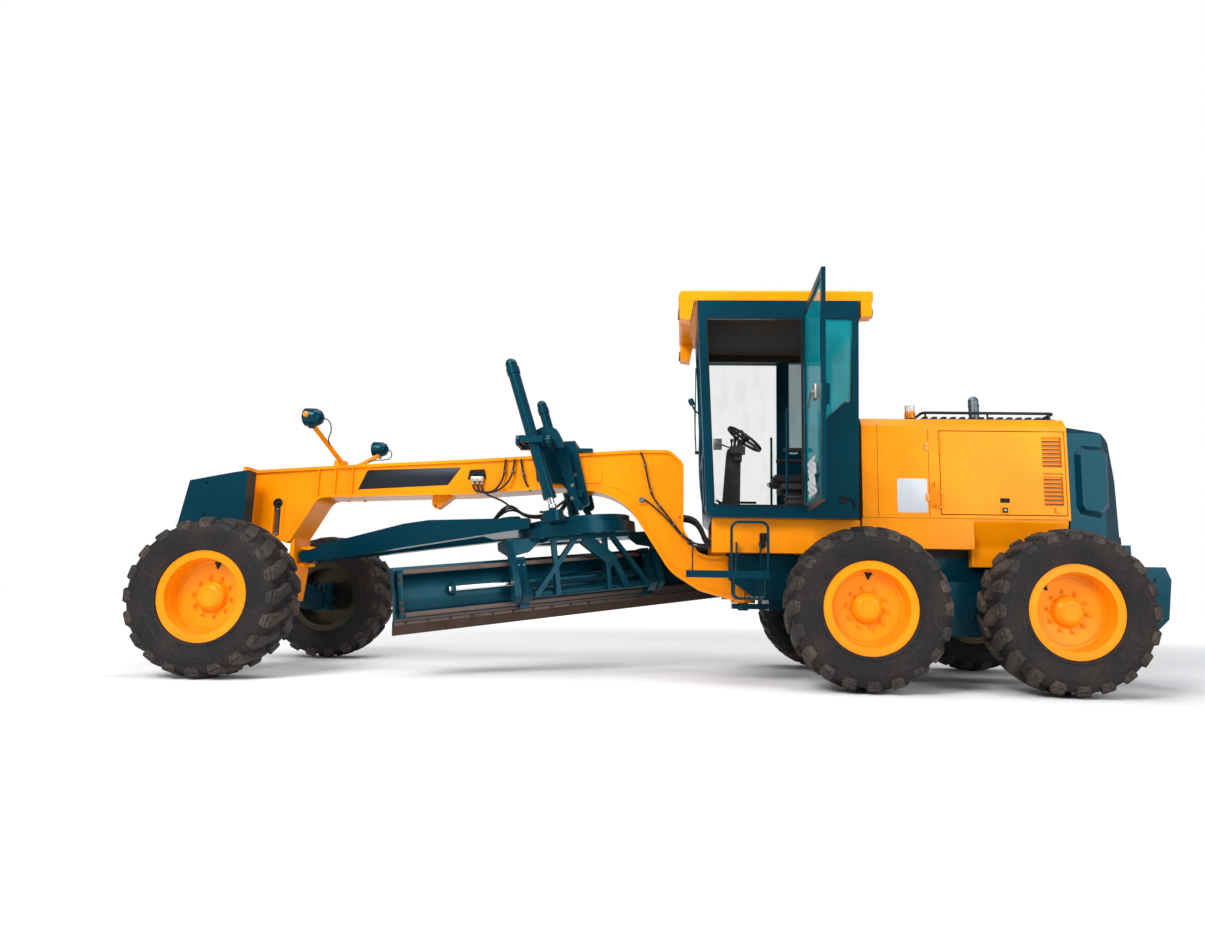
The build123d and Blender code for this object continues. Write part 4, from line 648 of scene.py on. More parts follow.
# The threaded rod behind the slot in the nose, and the pin in the round eye above it
SCREW_X, THREAD_PITCH = 5.367, 0.0095
EYE = frame_at((SCREW_X, 0.146, 1.541), (0, 1, 0))
work = bmesh.new()
thread = [(0, 0)]
for k in range(26):
    thread += [(0.017, 0.004 + k * THREAD_PITCH), (0.021, 0.009 + k * THREAD_PITCH)]
add_lathe(work, thread + [(0, 0.252)], frame_at((SCREW_X, 0.132, 1.236), (0, 0, 1)), 18)
for z in (1.240, 1.478):
    add_bolt(work, (SCREW_X, 0.132, z), (0, 0, 1), 0.030, 0.018, washer=False)
finish_mesh("adjusting_screw", work, "pipe_steel", "front_frame")
work = bmesh.new()
add_lathe(work, [(0.050, -0.03), (0.050, 0.010), (0.046, 0.014), (0.036, 0.014), (0.034, 0.004), (0, 0.002)],
          EYE, 32)
add_lathe(work, [(0.016, 0.0), (0.016, 0.016), (0.013, 0.019), (0, 0.019)], EYE, 20)
finish_mesh("nose_eye", work, "seal_rubber", "front_frame")
print("panels, valve, bolts and screw on the beam")

# %% Headlamps: dark shells, clear fronts, amber side lamps and the wires that feed them
LAMP_Y, LAMP_Z = 0.735, 2.250
LAMP_WIRE = [(4.745, LAMP_Y, 2.245), (4.700, 0.730, LAMP_Z), (4.640, 0.715, 2.220), (4.640, 0.680, 2.130),
             (4.700, 0.600, 2.110), (4.765, 0.480, 2.080), (4.770, 0.300, 2.010), (4.772, 0.180, 1.955)]
work_shell, work_lens, work_amber = bmesh.new(), bmesh.new(), bmesh.new()
for sign in (1, -1):
    add_lathe(work_shell, [(0, -0.062), (0.030, -0.060), (0.062, -0.038), (0.079, 0.0), (0.081, 0.050),
                           (0.081, 0.092), (0.077, 0.097), (0.071, 0.094)],
              frame_at((4.760, sign * LAMP_Y, LAMP_Z), (1, 0, 0)), 40)
    add_lathe(work_lens, [(0.072, 0.0), (0.068, 0.006), (0.040, 0.012), (0, 0.014)],
              frame_at((4.849, sign * LAMP_Y, LAMP_Z), (1, 0, 0)), 40)
    add_lathe(work_amber, [(0.026, 0.0), (0.027, 0.010), (0.022, 0.022), (0.010, 0.027), (0, 0.028)],
              frame_at((4.812, sign * 0.812, 2.258), (0.25, sign, 0.1)), 24)
    add_box(work_shell, (4.772, sign * LAMP_Y - 0.028, 2.150), (4.820, sign * LAMP_Y + 0.028, 2.182), 0.006)
    add_bolt(work_shell, (4.796, sign * LAMP_Y + sign * 0.028, 2.166), (0, sign, 0), 0.012, 0.010)
finish_mesh("headlamp_shells", work_shell, "teal_paint", "front_frame")
finish_mesh("headlamp_fronts", work_lens, "lamp_lens", "front_frame")
finish_mesh("headlamp_side_lamps", work_amber, "amber_lens", "front_frame")
work = bmesh.new()
for sign in (1, -1):
    add_tube(work, mirrored(LAMP_WIRE, sign), 0.005)
finish_mesh("headlamp_wires", work, "hose_rubber", "front_frame")
print("headlamp trim")

# %% [markdown]
# ## Hoses
#
# Hydraulic hoses leave a fitting straight, then bend in wide curves and lie against the plate that carries them.
# Each one here is a smooth curve given a round section. Those that cross the articulation joint lie over it
# and ride on no body.

# %% Hoses on the beam and the gooseneck
BEAM_HOSES = [
    [(3.173, 0.178, 1.99), (3.180, 0.182, 1.90), (3.190, 0.190, 1.80), (3.235, 0.192, 1.715), (3.300, 0.192, 1.665),
     (3.420, 0.190, 1.672), (3.470, 0.186, 1.700), (3.480, 0.178, 1.745)],
    [(3.087, 0.178, 1.99), (3.095, 0.190, 1.90), (3.112, 0.200, 1.806), (3.170, 0.205, 1.725), (3.240, 0.205, 1.680),
     (3.360, 0.200, 1.652), (3.437, 0.180, 1.700), (3.437, 0.178, 1.745)],
    [(3.029, 0.178, 1.99), (3.010, 0.186, 1.90), (2.992, 0.186, 1.811), (2.960, 0.180, 1.740), (2.930, 0.150, 1.690)],
    [(3.395, 0.178, 1.745), (3.395, 0.185, 1.70), (3.330, 0.225, 1.640), (3.220, 0.280, 1.600), (3.130, 0.300, 1.560),
     (3.080, 0.260, 1.510)],
]
GOOSENECK_HOSES = [
    [(1.893, 0.165, 2.085), (1.850, 0.188, 2.000), (1.832, 0.190, 1.903), (1.800, 0.188, 1.760),
     (1.765, 0.186, 1.640), (1.645, 0.188, 1.499), (1.560, 0.190, 1.390), (1.502, 0.192, 1.312),
     (1.430, 0.205, 1.235), (1.380, 0.215, 1.205)],
    [(1.836, 0.190, 1.616), (1.775, 0.194, 1.575), (1.716, 0.194, 1.522), (1.640, 0.196, 1.455),
     (1.545, 0.198, 1.350), (1.464, 0.200, 1.266), (1.390, 0.215, 1.235)],
]
work = bmesh.new()
for run in BEAM_HOSES:
    add_tube(work, run, 0.0095)
for run in GOOSENECK_HOSES:
    add_tube(work, run, 0.0085)
finish_mesh("frame_hoses", work, "hose_rubber", "front_frame")
work = bmesh.new()
# Clamps: place, and the hose's direction there
CLAMPS = [((3.182, 0.184, 1.87), (0.1, 0, 1)), ((3.100, 0.192, 1.87), (0.1, 0, 1)),
          ((2.998, 0.186, 1.85), (-0.1, 0, 1)), ((1.842, 0.188, 1.94), (-0.2, 0, 1)),
          ((1.783, 0.188, 1.70), (-0.3, 0, 1)), ((1.700, 0.190, 1.560), (-0.7, 0, -0.8)),
          ((1.560, 0.194, 1.385), (-0.6, 0, -0.8)), ((1.480, 0.196, 1.290), (-0.6, 0, -0.8))]
for at, along in CLAMPS:
    add_lathe(work, [(0.009, -0.011), (0.0135, -0.011), (0.0135, 0.011), (0.009, 0.011)], frame_at(at, along), 16,
              closed=True)
    add_box(work, (at[0] - 0.012, 0.150, at[2] - 0.010), (at[0] + 0.012, at[1], at[2] + 0.010), 0.002)
add_lathe(work, [(0.042, 0.0), (0.042, 0.018), (0.036, 0.024), (0.024, 0.024), (0.022, 0.040), (0, 0.040)],
          frame_at((1.864, 0.150, 1.615), (0, 1, 0)), 28)
finish_mesh("hose_clamps", work, "pipe_steel", "front_frame")
print(len(BEAM_HOSES) + len(GOOSENECK_HOSES), "hoses on the front frame")

# %% Hoses that cross the articulation joint
work = bmesh.new()
for k in range(7):
    y = -0.21 + 0.07 * k
    rise = 0.02 * math.sin(k * 2.1)
    add_tube(work, [(1.56, y * 0.6, 1.45 + rise), (1.47, y * 0.7, 1.47 + rise), (1.36, y * 0.8, 1.44 + rise),
                    (1.30, y * 0.9, 1.36 + rise), (1.27, y, 1.27 + rise), (1.22, y, 1.22 + rise), (1.14, y, 1.20)],
             0.014)
for y, z in ((0.235, 1.215), (0.255, 1.19)):
    add_tube(work, [(1.43, y - 0.02, z + 0.02), (1.36, y, z - 0.01), (1.28, y + 0.02, z - 0.02),
                    (1.20, y + 0.04, z - 0.01), (1.14, y + 0.04, z)], 0.010)
crossing = finish_mesh("crossing_hoses", work, "hose_rubber", None)
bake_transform(crossing)
print("nine hoses over the joint")

# %% [markdown]
# ## Blade
#
# Everything on the blade is laid out in the blade's own frame: ahead of it, along it and up it. The frame comes
# from two joints: the circle's axis points up the blade, and the side shift slides along it.

# %% The blade's frame, its end bars, rails and bolts
along_blade = Vector(JOINTS["blade_side_shift"]["axis"])
up_blade = Vector(JOINTS["circle_turn"]["axis"])
ahead_of_blade = along_blade.cross(up_blade)
BLADE = Matrix((ahead_of_blade, along_blade, up_blade)).transposed().to_4x4()
BLADE.translation = Vector(JOINTS["circle_turn"]["pos_m"])


FACE_R, FACE_MID, FACE_AHEAD = 0.432, -0.540, -0.025  # radius of the curved face, its middle height and place


def blade_face(w):
    """How far ahead of the circle's axis the blade's curved front face is, at a height on the blade."""
    return FACE_R - math.sqrt(FACE_R ** 2 - (w - FACE_MID) ** 2) + FACE_AHEAD


def blade_bolt(work, f, s, w, way, size=0.014, tall=0.012):
    """A bolt at a place ahead of, along and up the blade."""
    add_bolt(work, BLADE @ Vector((f, s, w)), BLADE.to_3x3() @ Vector(way), size, tall)


work = bmesh.new()
for s in (1.664, -1.606):
    add_box(work, (-0.100, s, -0.700), (-0.082, s + 0.045, -0.305), 0.004, BLADE)
for s0, s1 in ((1.735, 1.749), (-1.651, -1.637)):
    add_plate(work, [(blade_face(w) - 0.024, w) for w in (-0.275, -0.36, -0.45, -0.54, -0.63, -0.70)]
              + [(-0.082, -0.70), (-0.082, -0.30)], s1 - s0, BLADE @ side_matrix(s0), 0.003)
finish_mesh("blade_end_bars", work, "teal_paint", "moldboard")
work = bmesh.new()
for k in range(18):
    s = -1.55 + k * 0.188
    blade_bolt(work, blade_face(-0.745) - 0.022, s, -0.745, (-1, 0, 0.25), 0.013, 0.014)
    add_lathe(work, [(0, 0.004), (0.016, 0.003), (0.018, 0)],
              frame_at(BLADE @ Vector((0.050, s, -0.775)), BLADE.to_3x3() @ Vector((1, 0, -0.25))), 16)
for s in (1.687, -1.583):
    for w in (-0.36, -0.42, -0.58, -0.63, -0.67):
        blade_bolt(work, -0.100, s, w, (-1, 0, 0))
finish_mesh("blade_bolts", work, "worn_steel", "moldboard")
work = bmesh.new()
add_box(work, (-0.0845, -1.605, -0.342), (-0.0820, 1.660, -0.306), 0.001, BLADE)
add_box(work, (-0.0845, -1.605, -0.697), (-0.0820, 1.660, -0.663), 0.001, BLADE)
for w0, w1 in ((-0.758, -0.727), (-0.727, -0.704)):
    f0, f1 = blade_face((w0 + w1) / 2) - 0.0265, blade_face((w0 + w1) / 2) - 0.0215
    add_box(work, (f0, -1.640, w0), (f1, 1.738, w1), 0.002, BLADE)
finish_mesh("blade_wear_strips", work, "brown_wear", "moldboard")
work = bmesh.new()
for sign in (1, -1):
    for s in (0.618, 0.667):
        for w in (-0.345, -0.45, -0.56, -0.665):
            blade_bolt(work, -0.137, sign * s, w, (-1, 0, 0), 0.012, 0.012)
    for u, way in ((0.706, 1), (-0.706, -1)):
        add_lathe(work, [(0.020, 0), (0.046, 0.0), (0.048, 0.010), (0.040, 0.018), (0.026, 0.018)],
                  frame_at(BLADE @ Vector((-0.110, u - way * 0.016, -0.500)), along_blade * way), 28)
finish_mesh("carriage_bolts", work, "pipe_steel", "blade_carriage")
print("blade trim in its own frame")

# %% [markdown]
# ## Bolts set down on the solids
#
# A ray finds the plate under each bolt, so a head sits on its surface whatever the plate's slope.

# %% Bolts found by rays
depsgraph = bpy.context.evaluated_depsgraph_get()
TREES = {}
RAY_REACH = 1.2  # a ray that travels further has missed the plate it was meant for


def surface(node, start, way):
    """Where a ray meets a CAD node, and the surface's direction there."""
    if node not in TREES:
        TREES[node] = BVHTree.FromObject(NODES[node], depsgraph)
    place, normal, _, _ = TREES[node].ray_cast(Vector(start), Vector(way))
    if place is None:
        return None, None
    return place, normal if normal.dot(Vector(way)) < 0 else -normal


def bolts_on(name, node, rays, size, tall, material="zinc_bolt"):
    """Bolts where rays meet a CAD node, riding on that node's body."""
    work, count = bmesh.new(), 0
    for start, way in rays:
        place, normal = surface(node, start, way)
        if place is not None and (place - Vector(start)).length < RAY_REACH:
            add_bolt(work, place, normal, size, tall)
            count += 1
    finish_mesh(name, work, material, BODY_OF[node])
    print(name, count, "of", len(rays))


weight_rays = [((5.9, sign * 0.6, z), (0, -sign, 0)) for sign in (1, -1) for z in (1.40, 1.70)]
weight_rays += [((6.4, y, z), (-1, 0, 0)) for y in (-0.3, 0.3) for z in (1.38, 1.66)]
bolts_on("weight_bolts", "front_counterweight", weight_rays, 0.018, 0.014, "teal_paint")
saddle_rays = [((x, sign * 0.95, z), (0, -sign, 0)) for sign in (1, -1) for x in (2.50, 2.60)
               for z in (1.60, 1.72, 1.84)]
saddle_rays += [((x, sign * y, 2.5), (0, 0, -1)) for sign in (1, -1) for x in (2.70, 2.90) for y in (0.66, 0.74)]
bolts_on("saddle_bolts", "lift_saddle", saddle_rays, 0.015, 0.013, "pipe_steel")
for side, sign in SIDES:
    tandem_rays = [((x, sign * 1.3, z), (0, -sign, 0)) for x in (-1.15, -0.95, -0.62, -0.42) for z in (0.50, 0.80)]
    bolts_on(f"tandem_bolts_{side}", f"tandem_{side}", tandem_rays, 0.014, 0.012, "teal_paint")
frame_rays = [((x, sign * 0.9, z), (0, -sign, 0)) for sign in (1, -1) for x in (-0.35, -0.55, -1.15, -1.5, -2.2)
              for z in (0.70, 0.95)]
bolts_on("frame_bolts", "rear_frame", frame_rays, 0.015, 0.013, "teal_paint")
circle_rays = [(BLADE @ Vector((0.50 * math.cos(a), 0.50 * math.sin(a), 0.4)), -up_blade)
               for a in (math.tau * k / 24 for k in range(24))]
bolts_on("circle_bolts", "circle", circle_rays, 0.012, 0.010, "pipe_steel")
bumper_rays = [((-2.56, sign * 0.9, z), (0, -sign, 0)) for sign in (1, -1) for z in (0.62, 0.93)]
bolts_on("bumper_bolts", "rear_bumper", bumper_rays, 0.016, 0.012, "teal_paint")

# %% [markdown]
# ## Drawbar and circle hoses
#
# Hoses for the circle's motor run along the drawbar under clamps and loop up behind the lift arms.

# %% Hoses on the drawbar
HITCH = Vector((5.09, 0, 1.039))
DRAWBAR_BACK = Vector((-0.99145, 0, 0.13050))  # the tilted drawbar's direction, from the hitch to the circle


def on_drawbar(u, y, rise):
    """A point a little above the drawbar's top, a way behind the hitch."""
    start = HITCH + DRAWBAR_BACK * u + Vector((0, y, 0.6))
    place, _ = surface("drawbar", start, (0, 0, -1))
    return (place if place is not None else start - Vector((0, 0, 0.5))) + Vector((0, 0, rise))


work = bmesh.new()
for k, y in enumerate((0.045, 0.015, -0.020)):
    line = [on_drawbar(u, y, 0.012) for u in (0.35, 0.6, 0.9, 1.2, 1.5)]
    line += [on_drawbar(1.75, y, 0.05 + 0.02 * k), on_drawbar(1.95, y * 2, 0.16 - 0.02 * k),
             on_drawbar(2.15, y * 3, 0.07), on_drawbar(2.35, y * 3, 0.03)]
    add_tube(work, line, 0.010)
for k in range(3):
    swing = 0.05 * k
    add_tube(work, [on_drawbar(2.45, 0.20 + swing, 0.02), on_drawbar(2.60, 0.24 + swing, 0.15),
                    on_drawbar(2.52, 0.30 + swing, 0.16 - 0.02 * k), on_drawbar(2.40, 0.36 + swing, 0.06),
                    on_drawbar(2.34, 0.38 + swing, 0.012)], 0.011)
finish_mesh("drawbar_hoses", work, "hose_rubber", "drawbar")
work = bmesh.new()
for u in (0.55, 0.95, 1.35):
    at = on_drawbar(u, 0.014, 0)
    add_box(work, (at.x - 0.016, -0.045, at.z), (at.x + 0.016, 0.070, at.z + 0.026), 0.004)
    add_bolt(work, (at.x, 0.030, at.z + 0.026), (0, 0, 1), 0.008, 0.007)
finish_mesh("drawbar_clamps", work, "pipe_steel", "drawbar")
print("six hoses on the drawbar")

# %% [markdown]
# ## Hood, cowl and rear
#
# The hood's panels meet in narrow dark gaps. Drawing each gap as a shallow black strip keeps the panel lines
# crisp from any side. Handles, latches and hinges stand on the panels.

# %% Panel gaps, handles, latches and the blank notice plate
HOOD_Y = 0.560
work = bmesh.new()
for sign in (1, -1):
    for x, z0, z1 in ((-0.243, 1.450, 2.275), (-0.690, 1.450, 2.235)):
        add_box(work, (x - 0.002, sign * HOOD_Y - 0.0012, z0), (x + 0.002, sign * HOOD_Y + 0.0012, z1), 0.0005)
    add_box(work, (-1.890, sign * HOOD_Y - 0.0012, 1.4375), (-0.110, sign * HOOD_Y + 0.0012, 1.4405), 0.0005)
finish_mesh("hood_gaps", work, "seal_rubber", "rear_unit")

work_handle, work_latch, work_key = bmesh.new(), bmesh.new(), bmesh.new()
for name, sign in SIDES:
    y = sign * (HOOD_Y + 0.001)
    add_tube(work_handle, [(-0.735, y, 1.745), (-0.735, y + sign * 0.030, 1.745), (-0.735, y + sign * 0.042, 1.730),
                           (-0.735, y + sign * 0.042, 1.64), (-0.735, y + sign * 0.042, 1.560),
                           (-0.735, y + sign * 0.030, 1.545), (-0.735, y, 1.545)], 0.011, 4)
    for z in (1.745, 1.545):
        add_lathe(work_handle, [(0, 0), (0.024, 0), (0.022, 0.006), (0, 0.007)],
                  frame_at((-0.735, y, z), (0, sign, 0)), 20)
    leaf_y = y + sign * 0.007  # outer face of the plates beside the handle
    for z in (1.62, 2.08):
        add_box(work_handle, (-0.690, min(y, leaf_y), z - 0.035), (-0.655, max(y, leaf_y), z + 0.035), 0.003)
        for dz in (0.018, -0.018):
            add_bolt(work_latch, (-0.672, leaf_y, z + dz), (0, sign, 0), 0.007, 0.005)
    panel = side_matrix(sign * HOOD_Y, sign)
    add_plate(work_key, rounded(-1.383, -1.299, 1.583, 1.623, 0.008), 0.003, panel, 0.001)
    add_plate(work_handle, rounded(-1.380, -1.297, 1.478, 1.556, 0.010), 0.004, panel, 0.0015)
    add_plate(work_key, rounded(-1.362, -1.315, 1.494, 1.540, 0.006), 0.005, panel, 0.0015)
    add_lathe(work_latch, [(0.011, 0), (0.011, 0.004), (0.008, 0.006), (0, 0.006)],
              frame_at((-1.338, sign * (HOOD_Y + 0.005), 1.517), (0, sign, 0)), 20)
finish_mesh("hood_handles", work_handle, "yellow_paint", "rear_unit")
finish_mesh("hood_latches", work_latch, "zinc_bolt", "rear_unit")
finish_mesh("hood_latch_cups", work_key, "seal_rubber", "rear_unit")

work = bmesh.new()
add_plate(work, rounded(-0.672, -0.410, 1.486, 1.788, 0.012), 0.0016, side_matrix(HOOD_Y, 1), 0.0006)
finish_mesh("notice_plate", work, "plate_white", "rear_unit")
work = bmesh.new()
for x in (-0.660, -0.422):
    for z in (1.498, 1.776):
        add_lathe(work, [(0.005, 0), (0.004, 0.003), (0, 0.0038)], frame_at((x, HOOD_Y + 0.0014, z), (0, 1, 0)), 12)
finish_mesh("plate_rivets", work, "zinc_bolt", "rear_unit")
print("hood trim on both sides")

# %% Louvre shade, exhaust clamp, beacon, roof lamps and tail lamps
LOUVRE_PITCH = 0.036
BEACON_X, BEACON_Y = -0.593, 0.380
for name, sign in SIDES:
    work = bmesh.new()
    for z0, z1 in ((1.562, 1.848), (1.902, 2.168)):
        y0, y1 = sorted((sign * 0.5365, sign * 0.5395))
        add_box(work, (-1.848, y0, z0), (-1.682, y1, z1), 0.0008)
        for k in range(int((z1 - z0) / LOUVRE_PITCH)):
            z = z0 + 0.016 + k * LOUVRE_PITCH
            y0, y1 = sorted((sign * 0.5565, sign * 0.5605))
            add_box(work, (-1.846, y0, z - 0.006), (-1.684, y1, z + 0.004), 0.001)
    finish_mesh(f"louvre_mesh_{name}", work, "worn_steel", f"hood_hatch_{name}")

work = bmesh.new()
for z in (2.405, 2.585):
    add_lathe(work, [(0.047, 0), (0.052, 0.002), (0.052, 0.016), (0.047, 0.018)],
              frame_at((-1.3205, 0, z), (0, 0, 1)), 36)
add_box(work, (-1.332, 0.048, 2.400), (-1.308, 0.064, 2.424), 0.003)
add_bolt(work, (-1.320, 0.064, 2.412), (0, 1, 0), 0.008, 0.010)
finish_mesh("exhaust_clamps", work, "pipe_steel", "rear_unit")

work = bmesh.new()
add_lathe(work, [(0.0, 0), (0.0465, 0.0), (0.0465, 0.075), (0.044, 0.110), (0.036, 0.134), (0.020, 0.149),
                 (0, 0.1525)], frame_at((BEACON_X, BEACON_Y, 2.340), (0, 0, 1)), 36)
finish_mesh("beacon_dome", work, "amber_lens", "rear_unit")
work = bmesh.new()
foot_at = (BEACON_X, BEACON_Y, 2.341)
add_lathe(work, [(0, 0), (0.062, 0), (0.062, 0.014), (0.050, 0.028), (0, 0.028)], frame_at(foot_at, (0, 0, 1)), 32)
for k in range(16):
    add_box(work, (-0.0015, 0.0455, 0.03), (0.0015, 0.0478, 0.078), 0.0005,
            Matrix.Translation(foot_at) @ Matrix.Rotation(math.tau * k / 16, 4, "Z"))
finish_mesh("beacon_foot", work, "seal_rubber", "rear_unit")

work_rim, work_lens = bmesh.new(), bmesh.new()
for x, way, y, z, r in ((1.528, 1, 0.605, 3.275, 0.048), (1.528, 1, -0.605, 3.275, 0.048),
                        (-0.193, -1, 0.605, 3.290, 0.040), (-0.193, -1, -0.605, 3.290, 0.040)):
    add_lathe(work_rim, [(r, 0.0), (r + 0.006, 0.001), (r + 0.005, 0.013), (r - 0.004, 0.0135), (r - 0.006, 0.008)],
              frame_at((x, y, z), (way, 0, 0)), 36)
    add_lathe(work_lens, [(r - 0.003, 0.010), (r * 0.5, 0.0125), (0, 0.0135)], frame_at((x, y, z), (way, 0, 0)), 36)
finish_mesh("roof_lamp_rims", work_rim, "black_paint", "rear_unit")
finish_mesh("roof_lamp_fronts", work_lens, "lamp_lens", "rear_unit")

work_body, work_red, work_amber = bmesh.new(), bmesh.new(), bmesh.new()
for sign in (1, -1):
    place, normal = surface("rear_cowl", (-3.0, sign * 0.33, 1.275), (1, 0, 0))
    back = frame_at(place, normal)
    add_box(work_body, (-0.085, -0.034, -0.010), (0.085, 0.034, 0.022), 0.006, back)
    for dx, target in ((-0.042, work_red), (0.042, work_amber)):
        add_lathe(target, [(0.030, 0.0), (0.029, 0.006), (0.018, 0.010), (0, 0.011)],
                  back @ Matrix.Translation((dx * sign, 0, 0.022)), 28)
finish_mesh("tail_lamp_bodies", work_body, "black_paint", "rear_unit")
finish_mesh("tail_lamps_red", work_red, "red_lens", "rear_unit")
finish_mesh("tail_lamps_amber", work_amber, "amber_lens", "rear_unit")
print("lamps, beacon and exhaust trim")

# %% [markdown]
# ## Cab
#
# Rubber seals line the openings, cloth covers the roof's inside, and the driver's things are black plastic.

# %% Seals, headliner, wiper, handles and latches
work = bmesh.new()
for sign in (1, -1):
    y = sign * 0.671
    opening = [(0.434, y, 1.519), (1.203, y, 1.519), (1.284, y, 3.216), (0.434, y, 3.216), (0.434, y, 1.519)]
    add_tube(work, opening, 0.0075, 2, smooth=False)
    pane = [(0.0, 2.440), (0.060, 2.440), (0.285, 2.225), (0.370, 2.225), (0.370, 3.218), (-0.024, 3.218), (0, 2.44)]
    add_tube(work, [(x, sign * 0.668, z) for x, z in pane], 0.006, 2, smooth=False)
finish_mesh("cab_seals", work, "seal_rubber", "rear_unit")

work = bmesh.new()
add_box(work, (0.000, -0.610, 3.290), (1.270, 0.610, 3.335), 0.012)
for x in (0.32, 0.64, 0.96):
    add_box(work, (x - 0.004, -0.600, 3.286), (x + 0.004, 0.600, 3.292), 0.002)
add_box(work, (0.020, -0.630, 3.225), (1.250, -0.600, 3.300), 0.010)
finish_mesh("headliner_panel", work, "headliner", "rear_unit")

work = bmesh.new()
add_rod(work, (1.318, 0.300, 2.050), (1.372, 0.300, 2.050), 0.016, 20)
add_tube(work, [(1.362, 0.300, 2.050), (1.372, 0.260, 2.250), (1.378, 0.180, 2.560)], 0.006, smooth=False)
add_box(work, (1.366, 0.172, 2.200), (1.376, 0.186, 2.900), 0.003)
finish_mesh("wiper", work, "seal_rubber", "rear_unit")

work = bmesh.new()
add_tube(work, [(1.345, 0.600, 2.350), (1.375, 0.625, 2.360), (1.400, 0.640, 2.400), (1.415, 0.645, 2.440)], 0.008)
add_lathe(work, [(0, -0.030), (0.018, -0.028), (0.026, -0.010), (0.026, 0.020), (0.018, 0.034), (0, 0.036)],
          frame_at((1.412, 0.645, 2.440), (0.4, 0.2, 1)), 24)
add_tube(work, [(1.335, 0.672, 2.300), (1.340, 0.676, 2.05), (1.335, 0.676, 1.80), (1.320, 0.676, 1.60),
                (1.300, 0.660, 1.500), (1.285, 0.600, 1.440)], 0.007)
finish_mesh("pillar_fittings", work, "teal_paint", "rear_unit")

GRAB_BAR = [(0.560, 0.640, 2.390), (0.560, 0.600, 2.390), (0.560, 0.590, 2.375), (0.560, 0.590, 2.0),
            (0.560, 0.590, 1.640), (0.560, 0.600, 1.620), (0.560, 0.640, 1.620)]
LATCH_CORD = [(0.055, 0.676, 1.580), (0.020, 0.690, 1.590), (-0.010, 0.690, 1.560), (-0.014, 0.676, 1.500)]
work_bar, work_latch = bmesh.new(), bmesh.new()
for sign in (1, -1):
    add_tube(work_bar, mirrored(GRAB_BAR, sign), 0.012, 4)
    add_lathe(work_latch, [(0, 0), (0.034, 0), (0.034, 0.006), (0.026, 0.010), (0.022, 0.004), (0, 0.004)],
              frame_at((0.089, sign * 0.670, 1.574), (0, sign, 0)), 32)
    add_tube(work_latch, mirrored(LATCH_CORD, sign), 0.006)
finish_mesh("grab_bars", work_bar, "teal_paint", "rear_unit")
finish_mesh("panel_latches", work_latch, "seal_rubber", "rear_unit")
print("cab trim")

# %% Door handles and the film pouch on the open door
for name, centre, out, along in (("left", Vector((0.430, 1.400, 2.330)), Vector((1, 0, 0)), Vector((0, 1, 0))),
                                 ("right", Vector((1.120, -0.676, 2.330)), Vector((0, 1, 0)), Vector((1, 0, 0)))):
    place = Matrix((along, Vector((0, 0, 1)), out)).transposed().to_4x4()
    place.translation = centre
    work = bmesh.new()
    add_box(work, (-0.045, -0.060, 0.0), (0.045, 0.060, 0.030), 0.008, place)
    add_rod(work, place @ Vector((0.010, 0, 0.028)), place @ Vector((0.010, 0, 0.048)), 0.012, 16)
    add_tube(work, [place @ Vector(p) for p in ((0.010, 0, 0.044), (-0.050, -0.010, 0.046), (-0.140, -0.050, 0.046),
                                                (-0.190, -0.072, 0.040))], 0.009)
    finish_mesh(f"door_handle_{name}", work, "bright_wear", f"door_{name}")
    work = bmesh.new()
    lift = place @ Matrix.Translation((-0.25, -0.62, 0.0))
    add_box(work, (-0.16, -0.012, 0.0), (0.16, 0.012, 0.014), 0.004, lift)
    finish_mesh(f"door_rail_{name}", work, "seal_rubber", f"door_{name}")

work = bmesh.new()
bmesh.ops.create_grid(work, x_segments=26, y_segments=26, size=0.5)
for v in work.verts:
    x, z = v.co.x, v.co.y
    fold = (math.sin(17 * x + 4 * math.sin(9 * z)) * 0.006 + math.sin(31 * x + 11 * z) * 0.0035
            + random.uniform(0, 0.0025))
    v.co = Vector((0.436 + 0.013 + fold, 1.230 + x * 0.30 + 0.01 * math.sin(12 * z), 1.680 + z * 0.30))
bmesh.ops.solidify(work, geom=work.faces[:], thickness=0.001)
finish_mesh("film_pouch", work, "film_plastic", "door_left", smooth=24)
print("door trim")

# %% [markdown]
# ## Seat
#
# The cushion and the back are closed forms. A short cloth run with pressure and no gravity swells them, so their
# faces crown and their edges pull in, and a limit on how far a point moves keeps them inside the seat's space.

# %% Swell a pad
CLOTH_FRAMES, PAD_PRESSURE = 20, 4


